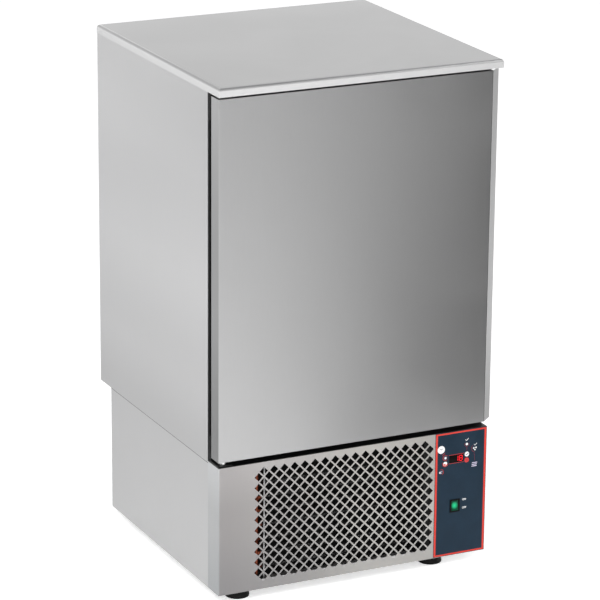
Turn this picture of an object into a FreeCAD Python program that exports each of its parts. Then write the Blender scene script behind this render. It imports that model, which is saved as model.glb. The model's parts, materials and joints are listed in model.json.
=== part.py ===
import FreeCAD, Part
import math
import os
import re

import Sketcher
from FreeCAD import Placement, Rotation, Vector

# Blast chiller: an insulated cabinet with one side-hinged door over a machinery base.
# Millimetres. X runs to the right, Y to the back, Z up. The origin is on the floor, in the
# middle of the overall width and depth. The door and the grille face -Y.

doc = FreeCAD.newDocument("blast_chiller")
NEAR = 0.001                     # two places or volumes this close count as one

# ---------------------------------------------------------------- driving dimensions
SIZES = {
    # overall
    "total_width": 750,
    "total_depth": 740,
    "total_height": 1290,
    "sheet": 1,                  # stainless panel sheet
    # worktop
    "worktop_height": 22,
    "worktop_sheet": 1.2,
    "worktop_nose": 9.5,         # radius of the front edge
    "worktop_edge": 9,           # radius of the side and back edges
    # machinery base
    "foot_height": 28,
    "base_height": 329,
    "base_depth": 666,
    "base_setback": 4,           # front panel behind the worktop's front
    "base_inset_left": 1,
    "base_inset_right": 17,
    "base_return": 62,           # depth of the front panel's folded sides
    "base_flange": 25,
    "pan_sheet": 2,
    "skirt_overlap": 4,          # upper side panels over the base's sides
    # door
    "door_depth": 42,
    "door_setback": 2,
    "door_gap_low": 14,
    "door_gap_top": 5,
    "grip_width": 28,
    "grip_rise": 24,             # how far the slanted grip falls back
    "grip_sheet": 1.5,
    "grip_lip": 2.5,
    "plug_height": 26,           # raised part of the door's inner liner
    "plug_gap": 10,              # plug to chamber wall
    "gasket_depth": 14,
    "gasket_width": 16,
    "gasket_inset": 8,           # from the door's top and bottom edges
    "gasket_clear": 0.2,
    "gasket_groove": 2,          # depth of the waist round its outer edge
    "skin_bend": 1,              # radius of the outer skin's left front corner
    "gasket_inset": 1,           # gasket from the hinge's axis
    "grip_back": 2,              # grip's back edge in from the door's back
    # hinges
    "hinge_in": 19,              # pin axis from the door's left and front faces
    "pin_radius": 4,
    "pin_reach": 22,             # pin inside the door
    "collar_radius": 8,
    "bush_wall": 3,
    "bush_flange": 2,
    "bush_flange_rim": 3,
    "bracket_plate": 3,
    "bracket_width": 38,
    "bracket_leg_width": 14,
    "bracket_leg": 65,
    "running_fit": 0.05,
    "hinge_nose": 5,             # bracket beyond the pin's collar
    "cut_over": 1,               # how far a cutting shape passes the face it cuts
    # insulated cabinet
    "frame_proud": 8,
    "frame_cover": 20,           # front and back folds of the side panels
    "chamber_width": 610,
    "chamber_depth": 602,
    "wall_floor": 55,
    "wall_roof": 59,
    "rivet_head": 1,
    "rivet_radius": 4,
    "rivet_edge": 8,
    "rivet_chamfer": 1.5,
    "rivets_upper": 5,           # down each side of the upper rear panel
    "rivets_base": 3,
    "rivet_end_upper": 40,
    "rivet_end_base": 30,
    # tray racks
    "rack_levels": 10,
    "rack_pitch": 70,
    "rack_first": 57,            # lowest runner over the chamber floor
    "rack_post": 12,
    "rack_front_gap": 42,
    "rack_span": 320,            # between the front faces of the two posts
    "runner_width": 38,
    "runner_length": 350,
    "runner_sheet": 1.5,
    "runner_lip": 14,
    # evaporator side
    "fan_panel_y": 110,
    "fan_panel_fold": 26,
    "fan_panel_gap": 27,         # air gap over and under the panel
    "fan_spacing": 380,
    "air_fan_radius": 118,
    "air_fan_hole": 127,
    "guard_wire": 1.5,
    "guard_rings": 4,
    "guard_lap": 4,              # outer ring beyond the fan's hole
    "guard_clear": 0.2,
    "coil_width": 480,
    "coil_depth": 76,
    "coil_rear_gap": 10,
    "coil_end_gap": 30,
    "coil_end_plate": 2,
    "coil_plate_front": 6,       # end plates in front of and above the fins
    "coil_plate_rise": 8,
    "tray_wall": 14,
    "tray_sheet": 1.2,
    "tray_gap": 15,
    # drain
    "drain_radius": 10,
    "drain_wall": 2,
    "drain_x": 200,
    "drain_y": 250,
    "drain_bend": 24,
    "drain_drop": 60,
    "drain_out": 42,             # spigot beyond the base's back panel
    "drain_collar": 2,           # ring against the panel, its height and its rim
    # vents in the base's back panel
    "vent_rows": 9,
    "vent_first": 100,
    "vent_length": 70,
    "vent_height": 5,
    "vent_pitch_x": 90,
    "vent_pitch_z": 18,
    "vent_columns": 3,
    "vent_shift": -60,           # middle column from the panel's middle
    # feet
    "foot_radius": 30,
    "foot_neck": 17,
    "stud_radius": 5,
    "stud_length": 34,
    "nut_radius": 10,
    "nut_height": 12,
    "foot_in_left": 74,
    "foot_in_right": 126,
    "foot_in_front": 53,
    "foot_in_back": 60,
    "foot_sole": 4,
    "foot_shoulder": 16,
    "foot_taper": 4,
    "foot_collar": 3,
    # grille
    "grille_columns": 17,
    "grille_rows": 11,
    "grille_pitch": 27.4,
    "grille_hole": 15.6,         # side of a punched square
    "grille_x": -35,
    "grille_z": 195.5,
    "grille_border": 15.4,       # punched sheet beyond the outermost corners' lattice
    # condenser and its fan
    "cond_left": -248,
    "cond_right": 188,
    "cond_gap": 12,              # behind the front panel
    "cond_depth": 56,
    "cond_low": 52,
    "cond_high": 338,
    "cond_plate": 1.2,
    "cond_plate_rim": 3,
    "cond_plate_rise": 4,
    "tube_radius": 4.5,
    "tube_pitch": 36,
    "tube_first": 24,
    "shroud_depth": 34,
    "cond_fan_radius": 112,
    "cond_fan_hole": 119,
    # fan motors and blades
    "motor_radius": 42,
    "motor_length": 62,
    "motor_gap": 30,             # motor behind the panel that carries it
    "hub_gap": 3,
    "strap_count": 4,
    "strap_width": 16,
    "strap_sheet": 2,
    "strap_clear": 6,            # straps outside the fan's opening
    "shaft_radius": 4,
    "shaft_depth": 22,
    "shaft_end_gap": 1,
    "hub_radius": 24,
    "hub_length": 20,
    "blade_count": 5,
    "blade_foot": 3,             # blade's root inside the hub
    "blade_sheet": 2.2,
    "blade_root": 30,
    "blade_tip": 62,
    "blade_root_pitch": 38,
    "blade_tip_pitch": 24,
    # compressor
    "comp_x": -150,
    "comp_y": 110,
    "comp_radius": 92,
    "comp_height": 205,
    "comp_dome": 38,
    "comp_plate": 4,
    "comp_plate_side": 190,
    "grommet_height": 12,
    "grommet_radius": 13,
    "stub_length": 16,
    "stub_wall": 1,
    "stub_root": 6,              # stub inside the can
    "cover_width": 64,           # terminal cover
    "cover_depth": 34,
    "cover_low": 60,
    "cover_height": 70,
    "cover_lap": 12,
    "pipe_radius": 5,
    "pipe_bend": 22,
    "suction_rise": 120,         # suction stub over the compressor's plate
    "discharge_rise": 60,
    "suction_out": 60,           # pipe runs beyond the stubs
    "discharge_out": 110,
    "discharge_aisle": 120,      # behind the shroud
    "liquid_aisle": 60,
    "feed_out": 60,
    "port_x": 170,               # both ports of the condenser
    "port_top": 18,
    "port_low": 24,
    "port_gap": 1,
    "drier_radius": 16,
    "drier_neck": 10,
    "drier_cone": 12,
    "drier_wall": 2,
    "drier_length": 110,
    "drier_x": 120,
    "drier_z": 120,
    # control panel
    "fascia_width": 145,
    "fascia_sheet": 0.4,
    "fascia_margin": 1,
    "key_proud": 0.8,
    "key_travel": 0.6,
    "key_gap": 0.2,
    "key_rim": 1.2,
    "key_rim_height": 1.5,
    "key_round": 0.5,
    "key_stem": 2,
    "board_depth": 15,           # board behind the front panel
    "board_sheet": 1.6,
    "board_height": 96,
    "board_margin": 2,
    "board_margin_right": 8,
    "pillar_in": 5,
    "pillar_radius": 3,
    "contact_side": 6,
    "contact_height": 3,
    "digit_width": 36,
    "digit_height": 18,
    "digit_gap": 1,
    "transformer_in": 12,
    "transformer_width": 30,
    "transformer_height": 32,
    "transformer_depth": 24,
    "relay_count": 3,
    "relay_in": 54,
    "relay_pitch": 18,
    "relay_width": 14,
    "relay_height": 28,
    "relay_depth": 18,
    "window_width": 40,
    "window_height": 20,
    "window_depth": 1.5,
    "window_x": 272.5,
    "window_z": 284,
    "box_depth": 130,
    "box_gap": 1.3,              # beside the condenser's return bends
    "switch_x": 270.5,
    "switch_z": 160,
    "bezel_width": 28,
    "bezel_height": 34,
    "bezel_proud": 1.4,
    "switch_width": 22,
    "switch_height": 29,
    "switch_depth": 26,
    "switch_lap": 0.5,           # body inside the bezel
    "well_side": 0.4,
    "well_end": 1.2,
    "well_back": 4,
    "box_under": 10,             # box below the bezel
    "rocker_width": 18,
    "rocker_length": 25,
    "rocker_swing": 10,          # degrees
    "rocker_front": 1.2,         # pressed face in front of the fascia
    "rocker_depth": 7,
    "rocker_pin": 1.2,
    "rocker_pin_reach": 1.2,
    "rocker_pin_gap": 0.3,
    "rocker_axis": 2,            # pin behind the fascia
    "rocker_rim": 1,             # straight edge behind the pin
    "rocker_foot": 8,
    # cable gland
    "gland_x": -300,
    "gland_z": 80,
    "gland_bore": 4.5,
    "gland_radius": 12,
    "gland_thread": 9,
    "gland_nut": 14,
    "gland_out": 24,
    "gland_in": 12,
    "gland_flange": 6,
    "gland_taper_run": 6,
    "gland_taper": 4,
}

# The keys: name, middle across and up, radius. The first is the large timer key.
KEYS = (
    ("key_timer", 229.5, 313, 10),
    ("key_set", 241.5, 290, 5.5),
    ("key_down", 241.5, 274.5, 5.5),
    ("key_sound", 229.5, 254, 5.5),
    ("key_chill", 301.8, 291.5, 6.2),
    ("key_freeze", 301.6, 276, 6.2),
)

sizes = doc.addObject("Spreadsheet::Sheet", "sizes")


def write_size(name, number):
    """Puts one driving dimension in the next row of the sheet, under its own name."""
    row = write_size.row
    sizes.set(f"A{row}", name)
    sizes.set(f"B{row}", str(number))
    sizes.setAlias(f"B{row}", name)
    write_size.row += 1


write_size.row = 1
for size_name, size_number in SIZES.items():
    write_size(size_name, size_number)
for key_name, key_x, key_z, key_radius in KEYS:
    write_size(f"{key_name}_x", key_x)
    write_size(f"{key_name}_z", key_z)
    write_size(f"{key_name}_radius", key_radius)
doc.recompute()

# ---------------------------------------------------------------- planes worked out from them
PLANES = {
    "half_width": "total_width / 2",
    "half_depth": "total_depth / 2",
    "worktop_low": "total_height - worktop_height",
    "base_low": "foot_height",
    "base_top": "foot_height + base_height",
    "floor_top": "base_top + sheet",
    "skirt_low": "base_top - skirt_overlap",
    "base_front": "base_setback - half_depth",
    "base_back": "base_front + base_depth",
    "base_left": "base_inset_left - half_width",
    "base_right": "half_width - base_inset_right",
    "base_inside": "base_front + sheet",
    "return_back": "base_front + base_return",
    "pan_top": "base_low + pan_sheet",
    "door_front": "door_setback - half_depth",
    "door_back": "door_front + door_depth",
    "door_low": "base_top + door_gap_low",
    "door_top": "worktop_low - door_gap_top",
    "door_right": "half_width - grip_width",
    "frame_front": "door_back + gasket_depth",
    "side_front": "frame_front + frame_proud",
    "back_out": "half_depth - rivet_head",
    "back_in": "back_out - 2 * sheet",
    "chamber_side": "chamber_width / 2",
    "chamber_low": "floor_top + wall_floor",
    "chamber_high": "worktop_low - wall_roof",
    "chamber_back": "side_front + chamber_depth",
    "chamber_mid": "(chamber_low + chamber_high) / 2",
    "hinge_x": "hinge_in - half_width",
    "hinge_y": "door_front + hinge_in",
    "bush_radius": "pin_radius + bush_wall",
    "gasket_left": "hinge_x + gasket_inset",
    "gasket_right": "door_right - grip_sheet - grip_back",
    "plug_side": "chamber_side - plug_gap",
    "plug_low": "chamber_low + plug_gap",
    "plug_high": "chamber_high - plug_gap",
    "plug_back": "door_back + plug_height",
    "panel_back": "fan_panel_y + sheet",
    "fan_low_z": "chamber_mid - fan_spacing / 2",
    "fan_high_z": "chamber_mid + fan_spacing / 2",
    "cond_front": "base_inside + cond_gap",
    "cond_back": "cond_front + cond_depth",
    "shroud_back": "cond_back + shroud_depth",
    "cond_fan_x": "(cond_left + cond_right) / 2",
    "cond_fan_z": "(cond_low + cond_high) / 2",
    "fascia_left": "base_right - fascia_width",
    "fascia_front": "base_front - fascia_sheet",
    "board_front": "base_inside + board_depth",
    "box_left": "cond_right + cond_plate + tube_pitch / 2 + tube_radius + box_gap",
    "box_right": "base_right - 2 * sheet",
    "comp_low": "pan_top + grommet_height",
    "comp_base": "comp_low + comp_plate",
    "foot_left_x": "base_left + foot_in_left",
    "foot_right_x": "base_right - foot_in_right",
    "foot_front_y": "base_front + foot_in_front",
    "foot_back_y": "base_back - foot_in_back",
    "rocker_axis_y": "fascia_front + rocker_axis",
    "guard_reach": "air_fan_hole + guard_lap",
    "bezel_front": "fascia_front - bezel_proud",
}

planes = doc.addObject("App::VarSet", "planes")
WORD = re.compile(r"[a-z_][a-z0-9_]*")
SIZE_NAMES = {sizes.get(f"A{row}") for row in range(1, write_size.row)}


def rule(text):
    """Writes a rule in the document's own terms: each name gets the object that holds it."""
    def owner(match):
        word = match.group(0)
        if word in SIZE_NAMES:
            return f"sizes.{word}"
        if word in PLANES:
            return f"planes.{word}"
        return word
    return WORD.sub(owner, str(text))


for plane_name, plane_rule in PLANES.items():
    planes.addProperty("App::PropertyFloat", plane_name, "planes")
    planes.setExpression(plane_name, rule(plane_rule))
doc.recompute()


def number(text):
    """The present value of a rule."""
    return float(planes.evalExpression(rule(text)))


def tie(thing, prop, text):
    """Binds one property to a rule."""
    thing.setExpression(prop, rule(text))


# ---------------------------------------------------------------- ways of making a piece
nodes = {}
pockets = []                     # each with the feature before it, to compare volumes


def keep(name, thing):
    """Names a finished piece, which becomes a file of its own."""
    thing.Label = name
    nodes[name] = thing
    return thing


def block(name, x, y, z):
    """A box from its spans along X, Y and Z, each a pair of rules."""
    box = doc.addObject("Part::Box", name)
    for prop, axis, (start, end) in zip(("Length", "Width", "Height"), "xyz", (x, y, z)):
        tie(box, prop, f"({end}) - ({start})")
        tie(box, f"Placement.Base.{axis}", start)
    return box


TURNS = {
    "z": Rotation(),
    "y": Rotation(Vector(1, 0, 0), -90),
    "x": Rotation(Vector(0, 1, 0), 90),
}


def stand(thing, spot, along="z"):
    """Turns a piece drawn about Z to another axis, and puts its foot at a spot of rules."""
    thing.Placement = Placement(Vector(), TURNS[along])
    for axis, text in zip("xyz", spot):
        tie(thing, f"Placement.Base.{axis}", text)
    return thing


def rod(name, spot, radius, length, along="z"):
    """A round bar from its foot, along one axis."""
    bar = doc.addObject("Part::Cylinder", name)
    tie(bar, "Radius", radius)
    tie(bar, "Height", length)
    return stand(bar, spot, along)


def joined(name, *things):
    fuse = doc.addObject("Part::MultiFuse", name)
    fuse.Shapes = list(things)
    return fuse


def bundled(name, *things):
    group = doc.addObject("Part::Compound", name)
    group.Links = list(things)
    return group


def cut(name, base, *tools):
    """The base less all the tools."""
    result = doc.addObject("Part::Cut", name)
    result.Base = base
    result.Tool = tools[0] if len(tools) == 1 else joined(f"{name}_tools", *tools)
    return result


def shaped(name, shape):
    """A piece whose form no primitive gives, from a shape made below."""
    feature = doc.addObject("Part::Feature", name)
    feature.Shape = shape
    return feature


def about(middle, size):
    """A span of a given size about its middle."""
    return f"{middle} - {size} / 2", f"{middle} + {size} / 2"


def rectangle(low, high):
    """Four corners of a rectangle, from two opposite ones."""
    return [low, (high[0], low[1]), high, (low[0], high[1])]


def draw(sketch, outlines):
    """Draws closed outlines: a list of points is a polygon, a (x, y, radius) tuple a circle."""
    for outline in outlines:
        first = sketch.GeometryCount
        if isinstance(outline, tuple):
            across, up, radius = outline
            middle = Vector(number(across), number(up), 0)
            sketch.addGeometry(Part.Circle(middle, Vector(0, 0, 1), number(radius)), False)
            for kind, args, text in (
                ("DistanceX", (first, 3), across),
                ("DistanceY", (first, 3), up),
                ("Radius", (first,), radius),
            ):
                spot = sketch.addConstraint(Sketcher.Constraint(kind, *args, number(text)))
                tie(sketch, f"Constraints[{spot}]", text)
            continue
        corners = [Vector(number(u), number(v), 0) for u, v in outline]
        count = len(corners)
        for index in range(count):
            line = Part.LineSegment(corners[index], corners[(index + 1) % count])
            sketch.addGeometry(line, False)
        for index, (across, up) in enumerate(outline):
            following = first + (index + 1) % count
            sketch.addConstraint(Sketcher.Constraint("Coincident", first + index, 2, following, 1))
            for kind, text in (("DistanceX", across), ("DistanceY", up)):
                spot = sketch.addConstraint(
                    Sketcher.Constraint(kind, first + index, 1, number(text)))
                tie(sketch, f"Constraints[{spot}]", text)


def sketch_on(body, plane, level, outlines):
    """A sketch of the outlines on one of the body's own planes, moved to a level."""
    sketch = body.newObject("Sketcher::SketchObject", f"{body.Name}_sketch")
    side = next(f for f in body.Origin.OriginFeatures if f.Role == f"{plane}_Plane")
    sketch.AttachmentSupport = (side, "")
    sketch.MapMode = "FlatFace"
    sign = "-" if plane == "XZ" else ""
    tie(sketch, "AttachmentOffset.Base.z", f"{sign}({level})")
    draw(sketch, outlines)
    return sketch


def body_named(name):
    return doc.addObject("PartDesign::Body", name)


def pad(body, plane, outlines, low, high):
    """Adds material between two levels along the plane's normal axis."""
    level = high if plane == "XZ" else low
    sketch = sketch_on(body, plane, level, outlines)
    feature = body.newObject("PartDesign::Pad", f"{body.Name}_pad")
    feature.Profile = sketch
    tie(feature, "Length", f"({high}) - ({low})")
    body.Tip = feature
    return feature


def pocket(body, plane, outlines, low, high):
    """Takes material away between two levels along the plane's normal axis."""
    level = low if plane == "XZ" else high
    base = body.Tip
    sketch = sketch_on(body, plane, level, outlines)
    feature = body.newObject("PartDesign::Pocket", f"{body.Name}_pocket")
    feature.Profile = sketch
    tie(feature, "Length", f"({high}) - ({low})")
    body.Tip = feature
    pockets.append((base, feature))
    return feature


def turned(name, profile, spot, along="z"):
    """A turned piece: its half profile of (radius, height) points, spun about its axis."""
    body = body_named(name)
    sketch = sketch_on(body, "XZ", "0", [profile])
    feature = body.newObject("PartDesign::Revolution", f"{name}_turn")
    feature.Profile = sketch
    feature.ReferenceAxis = (sketch, ["V_Axis"])
    feature.Angle = 360
    body.Tip = feature
    return stand(body, spot, along)


def edges_where(shape, test):
    """Names of the edges whose middle passes a test."""
    return [f"Edge{i}" for i, edge in enumerate(shape.Edges, 1) if test(edge.CenterOfMass)]


def rounded(body, radius, test):
    """Rounds the edges of a body that pass a test."""
    doc.recompute()
    base = body.Tip
    feature = body.newObject("PartDesign::Fillet", f"{body.Name}_round")
    feature.Base = (base, edges_where(base.Shape, test))
    tie(feature, "Radius", radius)
    body.Tip = feature
    return feature


def bent_tube(points, radius, bend):
    """A round bar along straight runs joined by tangent arcs."""
    points = [Vector(*p) for p in points]
    edges = []
    start = points[0]
    for before, corner, after in zip(points, points[1:], points[2:]):
        into = (corner - before).normalize()
        out = (after - corner).normalize()
        turn = into.getAngle(out)
        setback = bend * math.tan(turn / 2)
        first = corner - into * setback
        last = corner + out * setback
        middle = (first + last) / 2
        centre = corner + (middle - corner).normalize() * (bend / math.cos(turn / 2))
        top = centre + (corner - centre).normalize() * bend
        if start.distanceToPoint(first) > NEAR:
            edges.append(Part.LineSegment(start, first).toShape())
        edges.append(Part.Arc(first, top, last).toShape())
        start = last
    edges.append(Part.LineSegment(start, points[-1]).toShape())
    wire = Part.Wire(edges)
    heading = (points[1] - points[0]).normalize()
    ring = Part.Wire([Part.Circle(points[0], heading, radius).toShape()])
    return wire.makePipeShell([ring], True, True)


def mirrored(span, side):
    """A span along X on the left as written, or its mirror image on the right."""
    low, high = span
    return span if side == "left" else (f"-({high})", f"-({low})")


# ---------------------------------------------------------------- worktop
# A pressed stainless top with a rounded nose, hollow from below, over a stiffening board.
def crowned_slab(name, inset, high):
    """A slab of the worktop's outline less an inset all round, rounded over its upper edges."""
    body = body_named(name)
    across, along = f"half_width - {inset}", f"half_depth - {inset}"
    outline = rectangle((f"-({across})", f"-({along})"), (across, along))
    pad(body, "XY", [outline], "worktop_low", high)
    top, front = number(high), -number(along)
    rounded(body, f"worktop_nose - {inset}", lambda p: p.z > top - NEAR and p.y < front + NEAR)
    rounded(body, f"worktop_edge - {inset}", lambda p: p.z > top - NEAR
            and (abs(p.x) > number("half_width - worktop_edge")
                 or p.y > number("half_depth - worktop_edge")))
    return body


def make_worktop():
    slab = crowned_slab("worktop_slab", "0", "total_height")
    cavity = crowned_slab("worktop_cavity", "worktop_sheet", "total_height - worktop_sheet")
    keep("worktop", cut("worktop", slab, cavity))
    inner = "worktop_sheet + worktop_nose"
    keep("worktop_board", block(
        "worktop_board",
        (f"{inner} - half_width", f"half_width - ({inner})"),
        (f"{inner} - half_depth", f"half_depth - ({inner})"),
        ("worktop_low", "total_height - worktop_sheet")))


# ---------------------------------------------------------------- upper cabinet casing
def make_side_panel(side):
    """A side panel folded in at the front, over the frame's edge, and at the back."""
    sign = "-" if side == "left" else ""
    name = f"upper_side_panel_{side}"
    outer = f"{sign}half_width"
    inner = f"{sign}(half_width - sheet)"
    fold = f"{sign}(half_width - frame_cover)"
    outline = [
        (outer, "side_front"), (outer, "back_in + sheet"), (fold, "back_in + sheet"),
        (fold, "back_in"), (inner, "back_in"), (inner, "side_front + sheet"),
        (fold, "side_front + sheet"), (fold, "side_front"),
    ]
    body = body_named(name)
    pad(body, "XY", [outline], "floor_top", "worktop_low")
    skirt = rectangle((outer, "side_front"), (inner, "back_in + sheet"))
    pad(body, "XY", [skirt], "skirt_low", "floor_top")
    keep(name, body)


def make_cabinet():
    for side in ("left", "right"):
        make_side_panel(side)
    keep("upper_rear_panel", block(
        "upper_rear_panel", ("sheet - half_width", "half_width - sheet"),
        ("back_in + sheet", "back_out"), ("floor_top", "worktop_low")))

    # galvanised floor under the insulation, with the drain's way through
    floor = block("upper_floor_sheet", ("sheet - half_width", "half_width - sheet"),
                  ("side_front", "back_out"), ("base_top", "floor_top"))
    drain_way = rod("drain_way", ("drain_x", "drain_y", "base_top - cut_over"),
                    "drain_radius", "chamber_low - base_top + 2 * cut_over")
    keep("upper_floor_panel", cut("upper_floor_panel", floor, drain_way))

    # polyurethane foam between casing and liner
    foam = block("foam_block", ("sheet - half_width", "half_width - sheet"),
                 ("side_front + sheet", "back_in"), ("floor_top", "worktop_low"))
    core = block("foam_core", ("-chamber_side - sheet", "chamber_side + sheet"),
                 ("side_front", "chamber_back + sheet"),
                 ("chamber_low - sheet", "chamber_high + sheet"))
    keep("cabinet_insulation", cut("cabinet_insulation", foam, core, drain_way))

    # stainless liner, open to the front
    shell = block("liner_shell", ("-chamber_side - sheet", "chamber_side + sheet"),
                  ("side_front", "chamber_back + sheet"),
                  ("chamber_low - sheet", "chamber_high + sheet"))
    room = block("liner_room", ("-chamber_side", "chamber_side"),
                 ("side_front - cut_over", "chamber_back"), ("chamber_low", "chamber_high"))
    keep("chamber_liner", cut("chamber_liner", shell, room, drain_way))

    # black plastic frame round the mouth, which the door's gasket seals against
    body = body_named("front_frame")
    outer = rectangle(("2 * sheet - half_width", "floor_top"),
                      ("half_width - 2 * sheet", "worktop_low"))
    mouth = rectangle(("-chamber_side", "chamber_low"), ("chamber_side", "chamber_high"))
    pad(body, "XZ", [outer, mouth], "frame_front", "side_front")
    keep("front_frame", body)


# ---------------------------------------------------------------- tray racks
def make_rack(side):
    """Two posts against the liner's wall and ten folded runners for the trays."""
    posts = mirrored(("-chamber_side", "rack_post - chamber_side"), side)
    first_y = "side_front + rack_front_gap"
    low = "chamber_low + rack_first"
    ledge = mirrored(("rack_post - chamber_side", "rack_post + runner_width - chamber_side"), side)
    lip = mirrored(("rack_post - chamber_side", "rack_post + runner_sheet - chamber_side"), side)
    pieces = []
    for index, start in enumerate((first_y, f"{first_y} + rack_span - rack_post")):
        pieces.append(block(f"rack_{side}_post_{index}", posts, (start, f"{start} + rack_post"),
                            ("chamber_low", "chamber_high")))
    along = (f"{first_y} - (runner_length - rack_span) / 2",
             f"{first_y} + rack_span + (runner_length - rack_span) / 2")
    for level in range(int(number("rack_levels"))):
        height = f"{low} + {level} * rack_pitch"
        plate = block(f"rack_{side}_ledge_{level}", ledge, along,
                      (f"{height} - runner_sheet", height))
        fold = block(f"rack_{side}_lip_{level}", lip, along,
                     (f"{height} - runner_lip", f"{height} - runner_sheet"))
        pieces.append(joined(f"rack_{side}_runner_{level}", plate, fold))
    keep(f"tray_rack_{side}", bundled(f"tray_rack_{side}", *pieces))


# ---------------------------------------------------------------- fans
def make_motor(name, spot, opening):
    """A can motor, facing +Y, on four straps that stand on the panel in front of it.
    The spot is on the fan's axis in that panel's back face."""
    body = body_named(name)
    rear = "motor_gap + motor_length"
    pad(body, "XY", [("0", "0", "motor_radius")], "motor_gap", rear)
    reach = f"{opening} + strap_clear"
    arm = pad(body, "XY", [rectangle(("-strap_width / 2", "0"), ("strap_width / 2", reach))],
              rear, f"{rear} + strap_sheet")
    leg = pad(body, "XY", [rectangle(("-strap_width / 2", reach),
                                     ("strap_width / 2", f"{reach} + strap_sheet"))],
              "0", f"{rear} + strap_sheet")
    ring = body.newObject("PartDesign::PolarPattern", f"{name}_straps")
    ring.Originals = [arm, leg]
    ring.Axis = (arm.Profile[0], ["N_Axis"])
    ring.Angle = 360
    ring.Occurrences = int(number("strap_count"))
    body.Tip = ring
    pocket(body, "XY", [("0", "0", "shaft_radius + running_fit")],
           "motor_gap - shaft_depth", "motor_gap + shaft_depth")
    return stand(body, spot, "y")


def make_fan(name, spot, radius):
    """A fan on its shaft, facing the same way as its motor: hub, shaft and twisted blades."""
    gap = number("motor_gap")
    hub_back = gap - number("hub_gap")
    hub_front = hub_back - number("hub_length")
    shape = Part.makeCylinder(number("hub_radius"), number("hub_length"),
                              Vector(0, 0, hub_front))
    shaft_end = gap + number("shaft_depth - shaft_end_gap")
    shaft = Part.makeCylinder(number("shaft_radius"), shaft_end - hub_front,
                              Vector(0, 0, hub_front))
    middle = (hub_front + hub_back) / 2
    sheet = number("blade_sheet")
    sections = []
    for distance, chord, pitch in (
        (number("hub_radius - blade_foot"), number("blade_root"), number("blade_root_pitch")),
        (number(radius), number("blade_tip"), number("blade_tip_pitch")),
    ):
        corners = [Vector(distance, u * chord / 2, v * sheet / 2)
                   for u, v in ((-1, -1), (1, -1), (1, 1), (-1, 1), (-1, -1))]
        section = Part.makePolygon(corners)
        section.rotate(Vector(distance, 0, 0), Vector(1, 0, 0), pitch)
        section.translate(Vector(0, 0, middle))
        sections.append(section)
    blade = Part.makeLoft(sections, True, True)
    blades = []
    count = int(number("blade_count"))
    for index in range(count):
        copy = blade.copy()
        copy.rotate(Vector(), Vector(0, 0, 1), 360 * index / count)
        blades.append(copy)
    shape = shape.fuse([shaft] + blades).removeSplitter()
    return stand(shaped(name, shape), spot, "y")


def make_air_side():
    """Everything behind the trays: fan panel, two fans and guards, coil and drip tray."""
    panel = body_named("fan_panel")
    outline = [
        ("-chamber_side", "fan_panel_y"), ("chamber_side", "fan_panel_y"),
        ("chamber_side", "fan_panel_y + fan_panel_fold"),
        ("chamber_side - sheet", "fan_panel_y + fan_panel_fold"),
        ("chamber_side - sheet", "panel_back"), ("sheet - chamber_side", "panel_back"),
        ("sheet - chamber_side", "fan_panel_y + fan_panel_fold"),
        ("-chamber_side", "fan_panel_y + fan_panel_fold"),
    ]
    pad(panel, "XY", [outline], "chamber_low + fan_panel_gap", "chamber_high - fan_panel_gap")
    pocket(panel, "XZ", [("0", "fan_low_z", "air_fan_hole"), ("0", "fan_high_z", "air_fan_hole")],
           "fan_panel_y - cut_over", "panel_back + cut_over")
    keep("fan_panel", panel)

    motors, guards = [], []
    for place, height in (("lower", "fan_low_z"), ("upper", "fan_high_z")):
        spot = ("0", "panel_back", height)
        motors.append(make_motor(f"air_motor_{place}", spot, "air_fan_hole"))
        keep(f"evaporator_fan_{place}", make_fan(f"evaporator_fan_{place}", spot,
                                                "air_fan_radius"))
        wires = []
        for ring in range(1, int(number("guard_rings")) + 1):
            wire = doc.addObject("Part::Torus", f"guard_{place}_ring_{ring}")
            tie(wire, "Radius1", f"guard_reach * {ring} / guard_rings")
            tie(wire, "Radius2", "guard_wire")
            wires.append(stand(wire, ("0", "fan_panel_y - guard_wire - guard_clear", height), "y"))
        bar_y = "fan_panel_y - 2.5 * guard_wire - guard_clear"
        wires.append(rod(f"guard_{place}_bar_x", ("-guard_reach", bar_y, height),
                         "guard_wire", "2 * guard_reach", "x"))
        wires.append(rod(f"guard_{place}_bar_z", ("0", bar_y, f"{height} - guard_reach"),
                         "guard_wire", "2 * guard_reach", "z"))
        guards.append(joined(f"guard_{place}", *wires))
    keep("evaporator_fan_motors", bundled("evaporator_fan_motors", *motors))
    keep("fan_guards", bundled("fan_guards", *guards))

    # fin pack between two end plates, hung on the liner's back wall
    coil_y = ("chamber_back - coil_rear_gap - coil_depth", "chamber_back - coil_rear_gap")
    coil_z = ("chamber_low + coil_end_gap", "chamber_high - coil_end_gap")
    pieces = [block("coil_fins", ("-coil_width / 2", "coil_width / 2"), coil_y, coil_z)]
    for side in ("left", "right"):
        span = mirrored(("-coil_width / 2 - coil_end_plate", "-coil_width / 2"), side)
        pieces.append(block(f"coil_plate_{side}", span,
                            (f"{coil_y[0]} - coil_plate_front", "chamber_back"),
                            (f"{coil_z[0]} - coil_plate_rise", f"{coil_z[1]} + coil_plate_rise")))
    keep("evaporator_coil", joined("evaporator_coil", *pieces))

    tray = body_named("drip_tray")
    side = "chamber_side - tray_gap"
    front = "panel_back + fan_panel_fold"
    outline = rectangle((f"-({side})", front), (side, "chamber_back"))
    hollow = rectangle((f"tray_sheet - ({side})", f"{front} + tray_sheet"),
                       (f"{side} - tray_sheet", "chamber_back - tray_sheet"))
    pad(tray, "XY", [outline], "chamber_low", "chamber_low + tray_wall")
    pocket(tray, "XY", [hollow], "chamber_low + tray_sheet", "chamber_low + tray_wall")
    pocket(tray, "XY", [("drain_x", "drain_y", "drain_radius - drain_wall")],
           "chamber_low - cut_over", "chamber_low + tray_sheet")
    keep("drip_tray", tray)


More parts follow.
